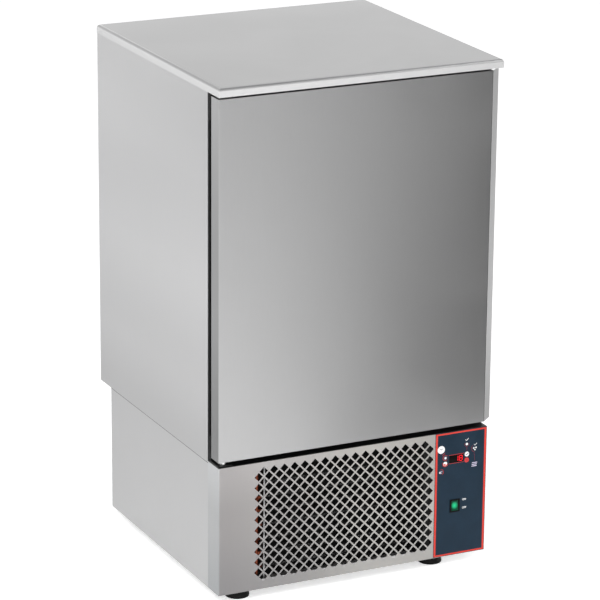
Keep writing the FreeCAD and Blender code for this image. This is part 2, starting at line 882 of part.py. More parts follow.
def make_drain():
    """The drain: down from the tray through the foam, then back to a collared spigot."""
    top = (number("drain_x"), number("drain_y"), number("chamber_low"))
    corner = (top[0], top[1], number("base_top - drain_drop"))
    end = (top[0], number("base_back + drain_out"), corner[2])
    bend = number("drain_bend")
    radius = number("drain_radius")
    outside = bent_tube((top, corner, end), radius, bend)
    inside = bent_tube((top, corner, end), radius - number("drain_wall"), bend)
    ring = Part.makeCylinder(radius + number("drain_collar"), number("drain_collar"),
                             Vector(top[0], number("base_back"), corner[2]),
                             Vector(0, 1, 0))
    outside = outside.fuse(ring).removeSplitter()
    keep("drain_pipe", shaped("drain_pipe", outside.cut(inside)))


# ---------------------------------------------------------------- door
def make_door():
    left, right = "-half_width", "door_right"
    sheet_in = f"{left} + sheet"
    skin = body_named("door_outer_skin")
    outline = [
        (left, "door_back"), (left, "door_front"), (right, "door_front"), (right, "door_back"),
        (f"{right} - sheet", "door_back"), (f"{right} - sheet", "door_front + sheet"),
        (sheet_in, "door_front + sheet"), (sheet_in, "door_back"),
    ]
    pad(skin, "XY", [outline], "door_low", "door_top")
    inner = rectangle((sheet_in, "door_front + sheet"), (f"{right} - sheet", "door_back"))
    hole = ("hinge_x", "hinge_y", "bush_radius")
    pad(skin, "XY", [inner, hole], "door_low", "door_low + sheet")
    pad(skin, "XY", [inner, hole], "door_top - sheet", "door_top")
    rounded(skin, "skin_bend", lambda p: abs(p.x + number("half_width")) < NEAR
            and abs(p.y - number("door_front")) < NEAR)
    keep("door_outer_skin", skin)

    # slanted grip along the free edge, with room for the fingers behind it
    grip = body_named("door_grip_profile")
    wall = "grip_sheet"
    slope = "grip_rise / grip_width"
    across = f"{wall} * sqrt(1 + ({slope}) ^ 2)"  # the sheet's thickness along Y
    outline = [
        (right, "door_front"), ("half_width", "door_front + grip_rise"),
        ("half_width", "door_front + grip_rise + grip_lip"),
        (f"half_width - {wall}", "door_front + grip_rise + grip_lip"),
        (f"half_width - {wall}", f"door_front + grip_rise + {across} - {slope} * {wall}"),
        (f"{right} + {wall}", f"door_front + {slope} * {wall} + {across}"),
        (f"{right} + {wall}", "door_back - grip_back"), (right, "door_back - grip_back"),
    ]
    pad(grip, "XY", [outline], "door_low", "door_top")
    keep("door_grip_profile", grip)

    # inner liner: a flat sheet with a raised plug that enters the chamber's mouth
    liner = body_named("door_inner_liner")
    plate = rectangle((sheet_in, "door_low + sheet"), (f"{right} - sheet", "door_top - sheet"))
    plug = rectangle(("-plug_side", "plug_low"), ("plug_side", "plug_high"))
    plug_in = rectangle(("sheet - plug_side", "plug_low + sheet"),
                        ("plug_side - sheet", "plug_high - sheet"))
    pad(liner, "XZ", [plate], "door_back - sheet", "door_back")
    pad(liner, "XZ", [plug], "door_back", "plug_back")
    pocket(liner, "XZ", [plug_in], "door_back - sheet", "plug_back - sheet")
    keep("door_inner_liner", liner)

    foam = block("door_foam", (sheet_in, f"{right} - sheet"),
                 ("door_front + sheet", "door_back - sheet"),
                 ("door_low + sheet", "door_top - sheet"))
    plug_foam = block("plug_foam", ("sheet - plug_side", "plug_side - sheet"),
                      ("door_back - sheet", "plug_back - sheet"),
                      ("plug_low + sheet", "plug_high - sheet"))
    sockets = [rod(f"bush_socket_{index}", ("hinge_x", "hinge_y", start), "bush_radius",
                   "pin_reach + cut_over")
               for index, start in enumerate(("door_low", "door_top - pin_reach - cut_over"))]
    keep("door_insulation", cut("door_insulation", joined("door_foam_whole", foam, plug_foam),
                                *sockets))

    # magnetic gasket: a ring of bellows section on the door's back
    gasket = body_named("door_gasket")
    outer = rectangle(("gasket_left", "door_low + gasket_inset"),
                      ("gasket_right", "door_top - gasket_inset"))
    inner = rectangle(("gasket_left + gasket_width", "door_low + gasket_inset + gasket_width"),
                      ("gasket_right - gasket_width", "door_top - gasket_inset - gasket_width"))
    pad(gasket, "XZ", [outer, inner], "door_back", "frame_front - gasket_clear")
    waist_out = rectangle(
        ("gasket_left + gasket_groove", "door_low + gasket_inset + gasket_groove"),
        ("gasket_right - gasket_groove", "door_top - gasket_inset - gasket_groove"))
    over = rectangle(("gasket_left - cut_over", "door_low + gasket_inset - cut_over"),
                     ("gasket_right + cut_over", "door_top - gasket_inset + cut_over"))
    pocket(gasket, "XZ", [over, waist_out], "door_back + gasket_depth / 3",
           "door_back + gasket_depth * 2 / 3")
    keep("door_gasket", gasket)

    # nylon bushes pressed into the door's top and bottom, turning on the pins
    bore = "pin_radius + running_fit"
    rim = "bush_radius + bush_flange_rim"
    profile = [(bore, "-bush_flange"), (rim, "-bush_flange"), (rim, "0"), ("bush_radius", "0"),
               ("bush_radius", "pin_reach + cut_over"), (bore, "pin_reach + cut_over")]
    upside = [(r, f"-({h})") for r, h in profile]
    bushes = [turned("bush_lower", profile, ("hinge_x", "hinge_y", "door_low")),
              turned("bush_upper", upside, ("hinge_x", "hinge_y", "door_top"))]
    keep("hinge_bushes", bundled("hinge_bushes", *bushes))


def make_hinges():
    """Two angle brackets on the cabinet's front frame, and their pins."""
    left = "2 * sheet - half_width"
    across = (left, f"{left} + bracket_width")
    forward = ("hinge_y - collar_radius - hinge_nose", "frame_front")
    leg_x = (left, f"{left} + bracket_leg_width")
    leg_y = ("frame_front - bracket_plate", "frame_front")
    hole = "pin_radius + running_fit"
    for place, plate_z, leg_z in (
        ("lower", ("base_top", "base_top + bracket_plate"),
         ("base_top + bracket_plate", "base_top + bracket_leg")),
        ("upper", ("worktop_low - bracket_plate", "worktop_low"),
         ("worktop_low - bracket_leg", "worktop_low - bracket_plate")),
    ):
        name = f"hinge_bracket_{place}"
        plate = block(f"{name}_plate", across, forward, plate_z)
        leg = block(f"{name}_leg", leg_x, leg_y, leg_z)
        bore = rod(f"{name}_bore", ("hinge_x", "hinge_y", f"{plate_z[0]} - cut_over"), hole,
                   "bracket_plate + 2 * cut_over")
        keep(name, cut(name, joined(f"{name}_blank", plate, leg), bore))
    shoulder = "door_gap_low - bush_flange - bracket_plate"
    lower = turned("pin_lower", [
        ("0", "0"), ("pin_radius", "0"), ("pin_radius", "bracket_plate"),
        ("collar_radius", "bracket_plate"), ("collar_radius", f"bracket_plate + {shoulder}"),
        ("pin_radius", f"bracket_plate + {shoulder}"),
        ("pin_radius", "door_gap_low + pin_reach"), ("0", "door_gap_low + pin_reach"),
    ], ("hinge_x", "hinge_y", "base_top"))
    upper = rod("pin_upper", ("hinge_x", "hinge_y", "door_top - pin_reach"), "pin_radius",
                "pin_reach + door_gap_top")
    keep("hinge_pins", bundled("hinge_pins", lower, upper))


# ---------------------------------------------------------------- machinery base
def make_base():
    front, back = "base_front", "base_back"
    left, right = "base_left", "base_right"

    # folded pan with a weld nut over each foot
    pan = body_named("base_pan")
    profile = [
        ("base_inside", "base_low"), (f"{back} - sheet", "base_low"),
        (f"{back} - sheet", "base_low + base_flange"),
        (f"{back} - sheet - pan_sheet", "base_low + base_flange"),
        (f"{back} - sheet - pan_sheet", "pan_top"), ("base_inside + pan_sheet", "pan_top"),
        ("base_inside + pan_sheet", "base_low + base_flange"),
        ("base_inside", "base_low + base_flange"),
    ]
    pad(pan, "YZ", [profile], f"{left} + sheet", f"{right} - sheet")
    corners = [(x, y) for x in ("foot_left_x", "foot_right_x")
               for y in ("foot_front_y", "foot_back_y")]
    pad(pan, "XY", [(x, y, "nut_radius") for x, y in corners], "pan_top", "pan_top + nut_height")
    pocket(pan, "XY", [(x, y, "stud_radius + running_fit") for x, y in corners],
           "base_low - cut_over", "pan_top + nut_height")
    keep("base_pan", pan)

    for side in ("left", "right"):
        edge = left if side == "left" else right
        inner = f"{left} + sheet" if side == "left" else f"{right} - sheet"
        fold = f"{left} + frame_cover" if side == "left" else f"{right} - frame_cover"
        body = body_named(f"base_side_{side}")
        outline = [(edge, "return_back"), (edge, f"{back} - sheet"), (fold, f"{back} - sheet"),
                   (fold, f"{back} - 2 * sheet"), (inner, f"{back} - 2 * sheet"),
                   (inner, "return_back")]
        pad(body, "XY", [outline], "base_low + base_flange", "base_top")
        pad(body, "XY", [rectangle((edge, "return_back"), (inner, f"{back} - sheet"))],
            "base_low", "base_low + base_flange")
        keep(f"base_side_{side}", body)

    # rear panel with rows of vents, a hole for the drain and one for the gland
    rear = body_named("base_rear_panel")
    pad(rear, "XZ", [rectangle((left, "base_low"), (right, "base_top"))], f"{back} - sheet", back)
    for column in range(int(number("vent_columns"))):
        middle = (f"({left} + {right}) / 2 + vent_shift"
                  f" + ({column} - (vent_columns - 1) / 2) * vent_pitch_x")
        slots = []
        for row in range(int(number("vent_rows"))):
            height = f"base_low + vent_first + {row} * vent_pitch_z"
            x, z = about(middle, "vent_length"), about(height, "vent_height")
            slots.append(rectangle((x[0], z[0]), (x[1], z[1])))
        pocket(rear, "XZ", slots, f"{back} - sheet - cut_over", f"{back} + cut_over")
    ways = [("drain_x", "base_top - drain_drop", "drain_radius"),
            ("gland_x", "gland_z", "gland_thread")]
    pocket(rear, "XZ", ways, f"{back} - sheet - cut_over", f"{back} + cut_over")
    keep("base_rear_panel", rear)


def control_openings():
    """The holes for window, switch and keys, through the front panel and its fascia alike."""
    spans = ((about("window_x", "window_width"), about("window_z", "window_height")),
             (about("switch_x", "switch_width"), about("switch_z", "switch_height")))
    openings = [rectangle((x[0], z[0]), (x[1], z[1])) for x, z in spans]
    return openings + [(f"{name}_x", f"{name}_z", f"{name}_radius + key_gap")
                       for name, *_ in KEYS]


def make_front_panel():
    """The front of the base: folded back at both sides, top and bottom, and punched."""
    left, right, front = "base_left", "base_right", "base_front"
    body = body_named("front_panel_blank")
    outline = [
        (left, "return_back"), (left, front), (right, front), (right, "return_back"),
        (f"{right} - sheet", "return_back"), (f"{right} - sheet", "base_inside"),
        (f"{left} + sheet", "base_inside"), (f"{left} + sheet", "return_back"),
    ]
    pad(body, "XY", [outline], "base_low", "base_top")
    top = rectangle((f"{left} + sheet", "base_inside"), (f"{right} - sheet", "return_back"))
    pad(body, "XY", [top], "base_top - sheet", "base_top")
    openings = control_openings()
    pocket(body, "XZ", openings, f"{front} - cut_over", "base_inside + cut_over")

    # two interleaved lattices of squares on their corners, punched in a sheet of their own size
    # that then closes a window in the panel
    pitch, reach = number("grille_pitch"), number("grille_hole") / math.sqrt(2)
    columns, rows = int(number("grille_columns")), int(number("grille_rows"))
    middle = Vector(number("grille_x"), number("base_front"), number("grille_z"))
    holes = []
    for across, up in ((columns, rows), (columns + 1, rows - 1)):
        for i in range(across):
            for j in range(up):
                spot = middle + Vector((i - (across - 1) / 2) * pitch, 0,
                                       (j - (up - 1) / 2) * pitch)
                holes.append(Part.makePolygon([
                    spot + Vector(u * reach, 0, v * reach)
                    for u, v in ((-1, 0), (0, -1), (1, 0), (0, 1), (-1, 0))]))
    half_x = "(grille_columns * grille_pitch / 2 + grille_border)"
    half_z = "((grille_rows - 1) * grille_pitch / 2 + grille_border)"
    edge = rectangle((f"grille_x - {half_x}", f"grille_z - {half_z}"),
                     (f"grille_x + {half_x}", f"grille_z + {half_z}"))
    pocket(body, "XZ", [edge], f"{front} - cut_over", "base_inside + cut_over")
    corners = [Vector(number(x), middle.y, number(z)) for x, z in edge]
    field = Part.makeFace([Part.makePolygon(corners + corners[:1])] + holes,
                          "Part::FaceMakerBullseye")
    field = shaped("grille_field", field.extrude(Vector(0, number("sheet"), 0)))
    panel = joined("lower_front_panel", body, field)
    panel.Refine = True
    keep("lower_front_panel", panel)


# ---------------------------------------------------------------- condensing unit
def make_condenser():
    pieces = [block("cond_fins", ("cond_left", "cond_right"), ("cond_front", "cond_back"),
                    ("cond_low", "cond_high"))]
    plate_y = ("cond_front - cond_plate_rim", "cond_back")
    for side, span in (("left", ("cond_left - cond_plate", "cond_left")),
                       ("right", ("cond_right", "cond_right + cond_plate"))):
        pieces.append(block(f"cond_plate_{side}", span, plate_y, 
                            ("pan_top", "cond_high + cond_plate_rise")))
    rows = int((number("cond_high - cond_low") - 2 * number("tube_first"))
               // number("tube_pitch")) + 1
    for column, y in enumerate(("cond_front + cond_depth / 4", "cond_front + cond_depth * 3 / 4")):
        for side, x in (("left", "cond_left - cond_plate"), ("right", "cond_right + cond_plate")):
            for row in range(0 if side == "left" else 1, rows - 1, 2):
                bend = doc.addObject("Part::Torus", f"cond_bend_{side}_{column}_{row}")
                tie(bend, "Radius1", "tube_pitch / 2")
                tie(bend, "Radius2", "tube_radius")
                bend.Angle3 = 180
                middle = f"cond_low + tube_first + ({row} + 0.5) * tube_pitch"
                stand(bend, (x, y, middle))
                sense = -1 if side == "left" else 1
                turn = Rotation(Vector(0, 0, sense), Vector(sense, 0, 0), Vector(0, 1, 0), "ZXY")
                bend.Placement = Placement(bend.Placement.Base, turn)
                pieces.append(bend)
    keep("condenser_coil", joined("condenser_coil", *pieces))

    shroud = body_named("condenser_shroud")
    outer = rectangle(("cond_left", "cond_low"), ("cond_right", "cond_high"))
    inner = rectangle(("cond_left + sheet", "cond_low + sheet"),
                      ("cond_right - sheet", "cond_high - sheet"))
    pad(shroud, "XZ", [outer, inner], "cond_back", "shroud_back - sheet")
    ways = [("cond_fan_x", "cond_fan_z", "cond_fan_hole")]
    ways += [("port_x", height, "pipe_radius + port_gap")
             for height in ("cond_high - port_top", "cond_low + port_low")]
    pad(shroud, "XZ", [outer] + ways, "shroud_back - sheet", "shroud_back")
    keep("condenser_shroud", shroud)

    spot = ("cond_fan_x", "shroud_back", "cond_fan_z")
    keep("condenser_fan_motor", make_motor("condenser_fan_motor", spot, "cond_fan_hole"))
    keep("condenser_fan", make_fan("condenser_fan", spot, "cond_fan_radius"))


def make_compressor():
    """A welded can on a square plate over four rubber grommets."""
    shell = turned("comp_can", [("0", "0"), ("comp_radius", "0"), ("comp_radius", "comp_height"),
                                ("0", "comp_height")], ("comp_x", "comp_y", "comp_base"))
    doc.recompute()
    rounded(shell, "comp_dome", lambda p: p.z > number("comp_height") - NEAR)
    half = "comp_plate_side / 2"
    plate = block("comp_plate_sheet", (f"comp_x - {half}", f"comp_x + {half}"),
                  (f"comp_y - {half}", f"comp_y + {half}"), ("comp_low", "comp_base"))
    stubs = []
    for name, rise in (("suction", "suction_rise"), ("discharge", "discharge_rise")):
        stubs.append(rod(f"{name}_stub", ("comp_x + comp_radius - stub_root", "comp_y",
                                          f"comp_base + {rise}"),
                         "pipe_radius + stub_wall", "stub_length + stub_root", "x"))
    keep("compressor", joined("compressor", shell, plate, *stubs))

    inset = "(comp_plate_side / 2 - grommet_radius)"
    grommets = [rod(f"grommet_{i}{j}", (f"comp_x + {i} * {inset}", f"comp_y + {j} * {inset}",
                                        "pan_top"), "grommet_radius", "grommet_height")
                for i in (-1, 1) for j in (-1, 1)]
    keep("compressor_grommets", bundled("compressor_grommets", *grommets))

    # plastic cover over the terminals, on the can's front
    body = body_named("terminal_cover")
    face = "comp_y - comp_radius"
    low, high = "comp_base + cover_low", "comp_base + cover_low + cover_height"
    outline = rectangle(("comp_x - cover_width / 2", f"{face} - cover_depth"),
                        ("comp_x + cover_width / 2", f"{face} + cover_lap"))
    pad(body, "XY", [outline], low, high)
    pocket(body, "XY", [("comp_x", "comp_y", "comp_radius")], f"{low} - cut_over",
           f"{high} + cut_over")
    keep("terminal_cover", body)


def make_pipes():
    """Copper lines between the compressor, the condenser, the drier and the cabinet."""
    y, stub_end = number("comp_y"), number("comp_x + comp_radius + stub_length")
    suction_x = stub_end + number("suction_out")
    discharge_x = stub_end + number("discharge_out")
    suction_z, discharge_z = number("comp_base + suction_rise"), number("comp_base + discharge_rise")
    port_x, port_y = number("port_x"), number("cond_back")
    high, low = number("cond_high - port_top"), number("cond_low + port_low")
    aisle, front_aisle = number("shroud_back + discharge_aisle"), number("shroud_back + liquid_aisle")
    drier_x, drier_z = number("drier_x"), number("drier_z")
    drier_front, drier_back = y - number("drier_length / 2"), y + number("drier_length / 2")
    feed_y = drier_back + number("feed_out")
    roof = number("base_top")
    radius, bend = number("pipe_radius"), number("pipe_bend")
    routes = (
        ((stub_end, y, suction_z), (suction_x, y, suction_z), (suction_x, y, roof)),
        ((stub_end, y, discharge_z), (discharge_x, y, discharge_z),
         (discharge_x, aisle, discharge_z), (discharge_x, aisle, high), (port_x, aisle, high),
         (port_x, port_y, high)),
        ((port_x, port_y, low), (port_x, front_aisle, low), (drier_x, front_aisle, low),
         (drier_x, front_aisle, drier_z), (drier_x, drier_front, drier_z)),
        ((drier_x, drier_back, drier_z), (drier_x, feed_y, drier_z), (drier_x, feed_y, roof)),
    )
    tubes = [bent_tube(route, radius, bend) for route in routes]
    keep("refrigerant_pipes", shaped("refrigerant_pipes", Part.makeCompound(tubes)))
    neck, cone = "pipe_radius + drier_wall", "drier_neck + drier_cone"
    body = turned("filter_drier", [
        ("0", "0"), (neck, "0"), (neck, "drier_neck"), ("drier_radius", cone),
        ("drier_radius", f"drier_length - ({cone})"), (neck, "drier_length - drier_neck"),
        (neck, "drier_length"), ("0", "drier_length"),
    ], ("drier_x", "comp_y - drier_length / 2", "drier_z"), "y")
    keep("filter_drier", body)


# ---------------------------------------------------------------- feet
def make_feet():
    """Levelling feet: a rubber-soled base on a threaded stud."""
    profile = [
        ("0", "0"), ("foot_radius", "0"), ("foot_radius", "foot_sole"),
        ("foot_radius - foot_taper", "foot_shoulder"),
        ("foot_neck", "foot_height - foot_collar"),
        ("foot_neck", "foot_height"), ("stud_radius", "foot_height"),
        ("stud_radius", "foot_height + stud_length"), ("0", "foot_height + stud_length"),
    ]
    for row, y in (("front", "foot_front_y"), ("rear", "foot_back_y")):
        for side, x in (("left", "foot_left_x"), ("right", "foot_right_x")):
            name = f"foot_{row}_{side}"
            keep(name, turned(name, profile, (x, y, "0")))


# ---------------------------------------------------------------- controls
def make_controls():
    """Fascia film, window, keys, board and box behind the right end of the front panel."""
    low, high = "base_low + fascia_margin", "base_top - fascia_margin"
    film = body_named("control_fascia")
    outline = rectangle(("fascia_left", low), ("base_right - fascia_margin", high))
    openings = control_openings()
    pad(film, "XZ", [outline] + openings, "fascia_front", "base_front")
    keep("control_fascia", film)

    keep("display_window", block("display_window", about("window_x", "window_width"),
                                 ("fascia_front", "fascia_front + window_depth"),
                                 about("window_z", "window_height")))

    rest = "base_inside - base_front + fascia_sheet + key_proud"
    stem_end = f"{rest} + board_depth - contact_height - key_travel"
    for name, *_ in KEYS:
        radius = f"{name}_radius"
        profile = [
            ("0", "0"), (f"{radius} - key_round", "0"), (radius, "key_round"), (radius, rest),
            (f"{radius} + key_rim", rest), (f"{radius} + key_rim", f"{rest} + key_rim_height"),
            ("key_stem", f"{rest} + key_rim_height"), ("key_stem", stem_end), ("0", stem_end),
        ]
        keep(name, turned(name, profile, (f"{name}_x", "fascia_front - key_proud", f"{name}_z"),
                          "y"))

    # circuit board on four pillars, with a press switch behind each key
    board_x = ("box_left + sheet + board_margin", "box_right - sheet - board_margin_right")
    board_z = ("window_z - board_height / 2", "window_z + board_height / 2")
    pieces = [block("board_sheet_blank", board_x, ("board_front", "board_front + board_sheet"),
                    board_z)]
    for i, across in enumerate((f"{board_x[0]} + pillar_in", f"{board_x[1]} - pillar_in")):
        for j, up in enumerate((f"{board_z[0]} + pillar_in", f"{board_z[1]} - pillar_in")):
            pieces.append(rod(f"pillar_{i}_{j}", (across, "base_inside", up), "pillar_radius",
                              "board_depth", "y"))
    for name, *_ in KEYS:
        pieces.append(block(f"{name}_contact", about(f"{name}_x", "contact_side"),
                            ("board_front - contact_height", "board_front"),
                            about(f"{name}_z", "contact_side")))
    pieces.append(block("digit_block", about("window_x", "digit_width"),
                        ("fascia_front + window_depth + digit_gap", "board_front"),
                        about("window_z", "digit_height")))
    back = "board_front + board_sheet"
    start = f"{board_x[0]} + transformer_in"
    pieces.append(block("transformer", (start, f"{start} + transformer_width"),
                        (back, f"{back} + transformer_depth"),
                        about("window_z", "transformer_height")))
    for index in range(int(number("relay_count"))):
        start = f"{board_x[0]} + relay_in + {index} * relay_pitch"
        pieces.append(block(f"relay_{index}", (start, f"{start} + relay_width"),
                            (back, f"{back} + relay_depth"), about("window_z", "relay_height")))
    keep("control_board", joined("control_board", *pieces))

    # steel box round the electrics, open to the front panel
    box_x = ("box_left", "box_right")
    box_z = ("switch_z - bezel_height / 2 - box_under", "base_top - sheet")
    box_y = ("base_inside", "base_inside + box_depth")
    shell = block("box_shell", box_x, box_y, box_z)
    room = block("box_room", (f"{box_x[0]} + sheet", f"{box_x[1]} - sheet"),
                 ("base_inside - cut_over", f"{box_y[1]} - sheet"),
                 (f"{box_z[0]} + sheet", f"{box_z[1]} - sheet"))
    keep("control_box", cut("control_box", shell, room))


def make_switch():
    """The lit mains rocker: a bezel and body clipped in the panel, and the rocker on its pin."""
    x, z = "switch_x", "switch_z"
    bezel = block("switch_bezel", about(x, "bezel_width"), ("bezel_front", "fascia_front"),
                  about(z, "bezel_height"))
    case = block("switch_case", about(x, "switch_width"),
                 ("fascia_front - switch_lap", "fascia_front + switch_depth"),
                 about(z, "switch_height"))
    well = block("switch_well", about(x, "(rocker_width + 2 * well_side)"),
                 ("bezel_front - cut_over", "rocker_axis_y + rocker_depth + well_back"),
                 about(z, "(rocker_length + 2 * well_end)"))
    pin_length = "(rocker_width + 2 * rocker_pin_reach)"
    hole_length = f"({pin_length} + 2 * rocker_pin_gap)"
    pin_hole = rod("switch_pin_hole", (f"{x} - {hole_length} / 2", "rocker_axis_y", z),
                   "rocker_pin + running_fit", hole_length, "x")
    keep("rocker_housing", cut("rocker_housing", joined("switch_blank", bezel, case), well,
                               pin_hole))

    # the upper face is pressed in and flat, the lower face stands out by the swing
    body = body_named("rocker_cap")
    low, high = about(z, "rocker_length")
    foot_low, foot_high = about(z, "rocker_foot")
    face = "fascia_front - rocker_front"
    out = f"{face} - rocker_length / 2 * tan(rocker_swing)"
    rim, foot = "rocker_axis_y + rocker_rim", "rocker_axis_y + rocker_depth"
    profile = [(face, high), (face, z), (out, low), (rim, low), (foot, foot_low),
               (foot, foot_high), (rim, high)]
    across = about(x, "rocker_width")
    pad(body, "YZ", [profile], *across)
    pin = rod("rocker_pin_bar", (f"{x} - {pin_length} / 2", "rocker_axis_y", z),
              "rocker_pin", pin_length, "x")
    keep("rocker_switch", joined("rocker_switch", body, pin))


def make_gland():
    """The inlet for the mains cable, empty."""
    wall = "base_back"
    profile = [
        ("gland_bore", "-gland_in"), ("gland_thread", "-gland_in"), ("gland_thread", "0"),
        ("gland_nut", "0"), ("gland_nut", "gland_flange"), ("gland_radius", "gland_flange"),
        ("gland_radius", "gland_out - gland_taper_run"),
        ("gland_radius - gland_taper", "gland_out"),
        ("gland_bore", "gland_out"),
    ]
    keep("cable_gland", turned("cable_gland", profile, ("gland_x", wall, "gland_z"), "y"))


def make_rivets():
    """Low round heads that hold the two rear panels."""
    heads = []
    profile = [("0", "0"), ("rivet_radius", "0"), ("rivet_radius - rivet_chamfer", "rivet_head"),
               ("0", "rivet_head")]
    for place, edges, y, (low, high), count, end in (
        ("upper", ("sheet - half_width", "half_width - sheet"), "back_out",
         ("floor_top", "worktop_low"), "rivets_upper", "rivet_end_upper"),
        ("base", ("base_left", "base_right"), "base_back",
         ("base_low", "base_top"), "rivets_base", "rivet_end_base"),
    ):
        columns = (f"{edges[0]} + rivet_edge", f"{edges[1]} - rivet_edge")
        for side, x in zip(("left", "right"), columns):
            for row in range(int(number(count))):
                pitch = f"({high} - {low} - 2 * {end}) / ({count} - 1)"
                spot = (x, y, f"{low} + {end} + {row} * {pitch}")
                heads.append(turned(f"rivet_{place}_{side}_{row}", profile, spot, "y"))
    keep("panel_rivets", bundled("panel_rivets", *heads))


make_worktop()
make_cabinet()
for rack_side in ("left", "right"):
    make_rack(rack_side)
make_air_side()
make_drain()
make_door()
make_hinges()
make_base()
make_front_panel()
make_condenser()
make_compressor()
make_pipes()
make_feet()
make_controls()
make_switch()
make_gland()
make_rivets()
doc.recompute()

# ---------------------------------------------------------------- checks and files
for thing in doc.Objects:
    if "Invalid" in thing.State or "Error" in thing.State:
        raise RuntimeError(f"{thing.Name} failed: {thing.State}")
for base, feature in pockets:
    if feature.Shape.Volume > base.Shape.Volume - NEAR:
        raise RuntimeError(f"{feature.Name} takes nothing away")
for name, thing in nodes.items():
    if thing.Shape.isNull() or not thing.Shape.isValid() or not thing.Shape.Solids:
        raise RuntimeError(f"{name} has no valid solid")

os.makedirs("parts", exist_ok=True)
for name, thing in nodes.items():
    thing.Shape.exportStep(f"parts/{name}.step")
print(len(nodes), "pieces written")
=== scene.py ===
import json
import math

import bmesh
import bpy
from mathutils import Matrix, Vector

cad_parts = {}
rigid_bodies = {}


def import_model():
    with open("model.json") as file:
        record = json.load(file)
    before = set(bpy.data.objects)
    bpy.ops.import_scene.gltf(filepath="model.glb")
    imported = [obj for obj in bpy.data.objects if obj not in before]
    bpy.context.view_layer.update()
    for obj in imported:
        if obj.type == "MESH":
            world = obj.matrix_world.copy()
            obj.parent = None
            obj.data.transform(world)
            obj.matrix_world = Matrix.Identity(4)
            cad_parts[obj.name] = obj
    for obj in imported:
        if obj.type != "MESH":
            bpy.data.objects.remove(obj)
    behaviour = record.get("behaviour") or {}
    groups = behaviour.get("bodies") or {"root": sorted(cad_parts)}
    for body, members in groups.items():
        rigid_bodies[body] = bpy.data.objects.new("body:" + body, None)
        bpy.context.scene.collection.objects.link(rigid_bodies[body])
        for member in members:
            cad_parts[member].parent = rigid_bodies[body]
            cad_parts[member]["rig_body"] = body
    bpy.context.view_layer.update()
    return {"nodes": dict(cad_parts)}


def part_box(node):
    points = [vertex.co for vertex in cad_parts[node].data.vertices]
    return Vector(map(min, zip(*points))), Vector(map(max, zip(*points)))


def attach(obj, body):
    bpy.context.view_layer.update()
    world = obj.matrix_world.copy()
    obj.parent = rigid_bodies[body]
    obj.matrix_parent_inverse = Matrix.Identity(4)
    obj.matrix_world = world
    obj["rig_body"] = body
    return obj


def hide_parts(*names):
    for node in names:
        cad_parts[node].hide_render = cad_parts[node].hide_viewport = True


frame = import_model()

# ---------------- photographer's studio
# A pale sweep, a wide softbox high on the left, a soft fill on the right and a low light behind.
# The door mirrors two dark flags that the camera doesn't see. The long lens stands off to the
# left and looks down a little.
CAMERA_PLACE = Vector((-3.3811, -6.9919, 3.0780))
CAMERA_AZIMUTH = math.radians(25.914)
CAMERA_DIP = math.radians(17.523)
CAMERA_ROLL = math.radians(0.504)
SENSOR_MM = 36.0
PICTURE_PIXELS = 600
FOCAL_PIXELS = 3248.4            # the lens's focal length, fitted to the picture's corners


def feed(node, label, source):
    """Joins what another node puts out to a socket of a node."""
    node.id_data.links.new(source, node.inputs[label])


def add_node(tree, kind, inputs=(), **settings):
    """A shader node, its settings, and its inputs given as values or as sockets to join."""
    node = tree.nodes.new("ShaderNode" + kind)
    for key, value in settings.items():
        setattr(node, key, value)
    for key, value in dict(inputs).items():
        if isinstance(value, bpy.types.NodeSocket):
            feed(node, key, value)
        else:
            node.inputs[key].default_value = value
    return node


def softbox(name, place, target, width, height, watts):
    """A rectangular light that faces its target."""
    lamp = bpy.data.lights.new(name, "AREA")
    lamp.shape = "RECTANGLE"
    lamp.size = width
    lamp.size_y = height
    lamp.energy = watts
    holder = bpy.data.objects.new(name, lamp)
    holder.location = place
    heading = Vector(target) - Vector(place)
    holder.rotation_euler = heading.to_track_quat("-Z", "Y").to_euler()
    holder.visible_camera = False
    bpy.context.scene.collection.objects.link(holder)
    return holder


def stage_sheet(name, corners, tone):
    """A flat matt sheet of the studio in a plain grey, from its corners."""
    shape = bmesh.new()
    shape.faces.new([shape.verts.new(corner) for corner in corners])
    mesh = bpy.data.meshes.new(name)
    shape.to_mesh(mesh)
    shape.free()
    sheet = bpy.data.objects.new(name, mesh)
    bpy.context.scene.collection.objects.link(sheet)
    paint = bpy.data.materials.new(name)
    paint.use_nodes = True
    shader = paint.node_tree.nodes["Principled BSDF"]
    shader.inputs["Base Color"].default_value = (tone, tone, tone, 1)
    shader.inputs["Roughness"].default_value = 0.9
    shader.inputs["Specular IOR Level"].default_value = 0.0
    mesh.materials.append(paint)
    return sheet


look = Vector((math.sin(CAMERA_AZIMUTH) * math.cos(CAMERA_DIP),
               math.cos(CAMERA_AZIMUTH) * math.cos(CAMERA_DIP), -math.sin(CAMERA_DIP)))
level = Vector((math.cos(CAMERA_AZIMUTH), -math.sin(CAMERA_AZIMUTH), 0))
upright = level.cross(look)
across = level * math.cos(CAMERA_ROLL) + upright * math.sin(CAMERA_ROLL)
rise = upright * math.cos(CAMERA_ROLL) - level * math.sin(CAMERA_ROLL)
camera_data = bpy.data.cameras.new("studio_camera")
camera_data.lens = FOCAL_PIXELS * SENSOR_MM / PICTURE_PIXELS
camera_data.sensor_width = SENSOR_MM
camera_data.clip_end = 100
camera = bpy.data.objects.new("studio_camera", camera_data)
camera_turn = Matrix((across, rise, -look)).transposed().to_4x4()
camera.matrix_world = Matrix.Translation(CAMERA_PLACE) @ camera_turn
bpy.context.scene.collection.objects.link(camera)
bpy.context.scene.camera = camera

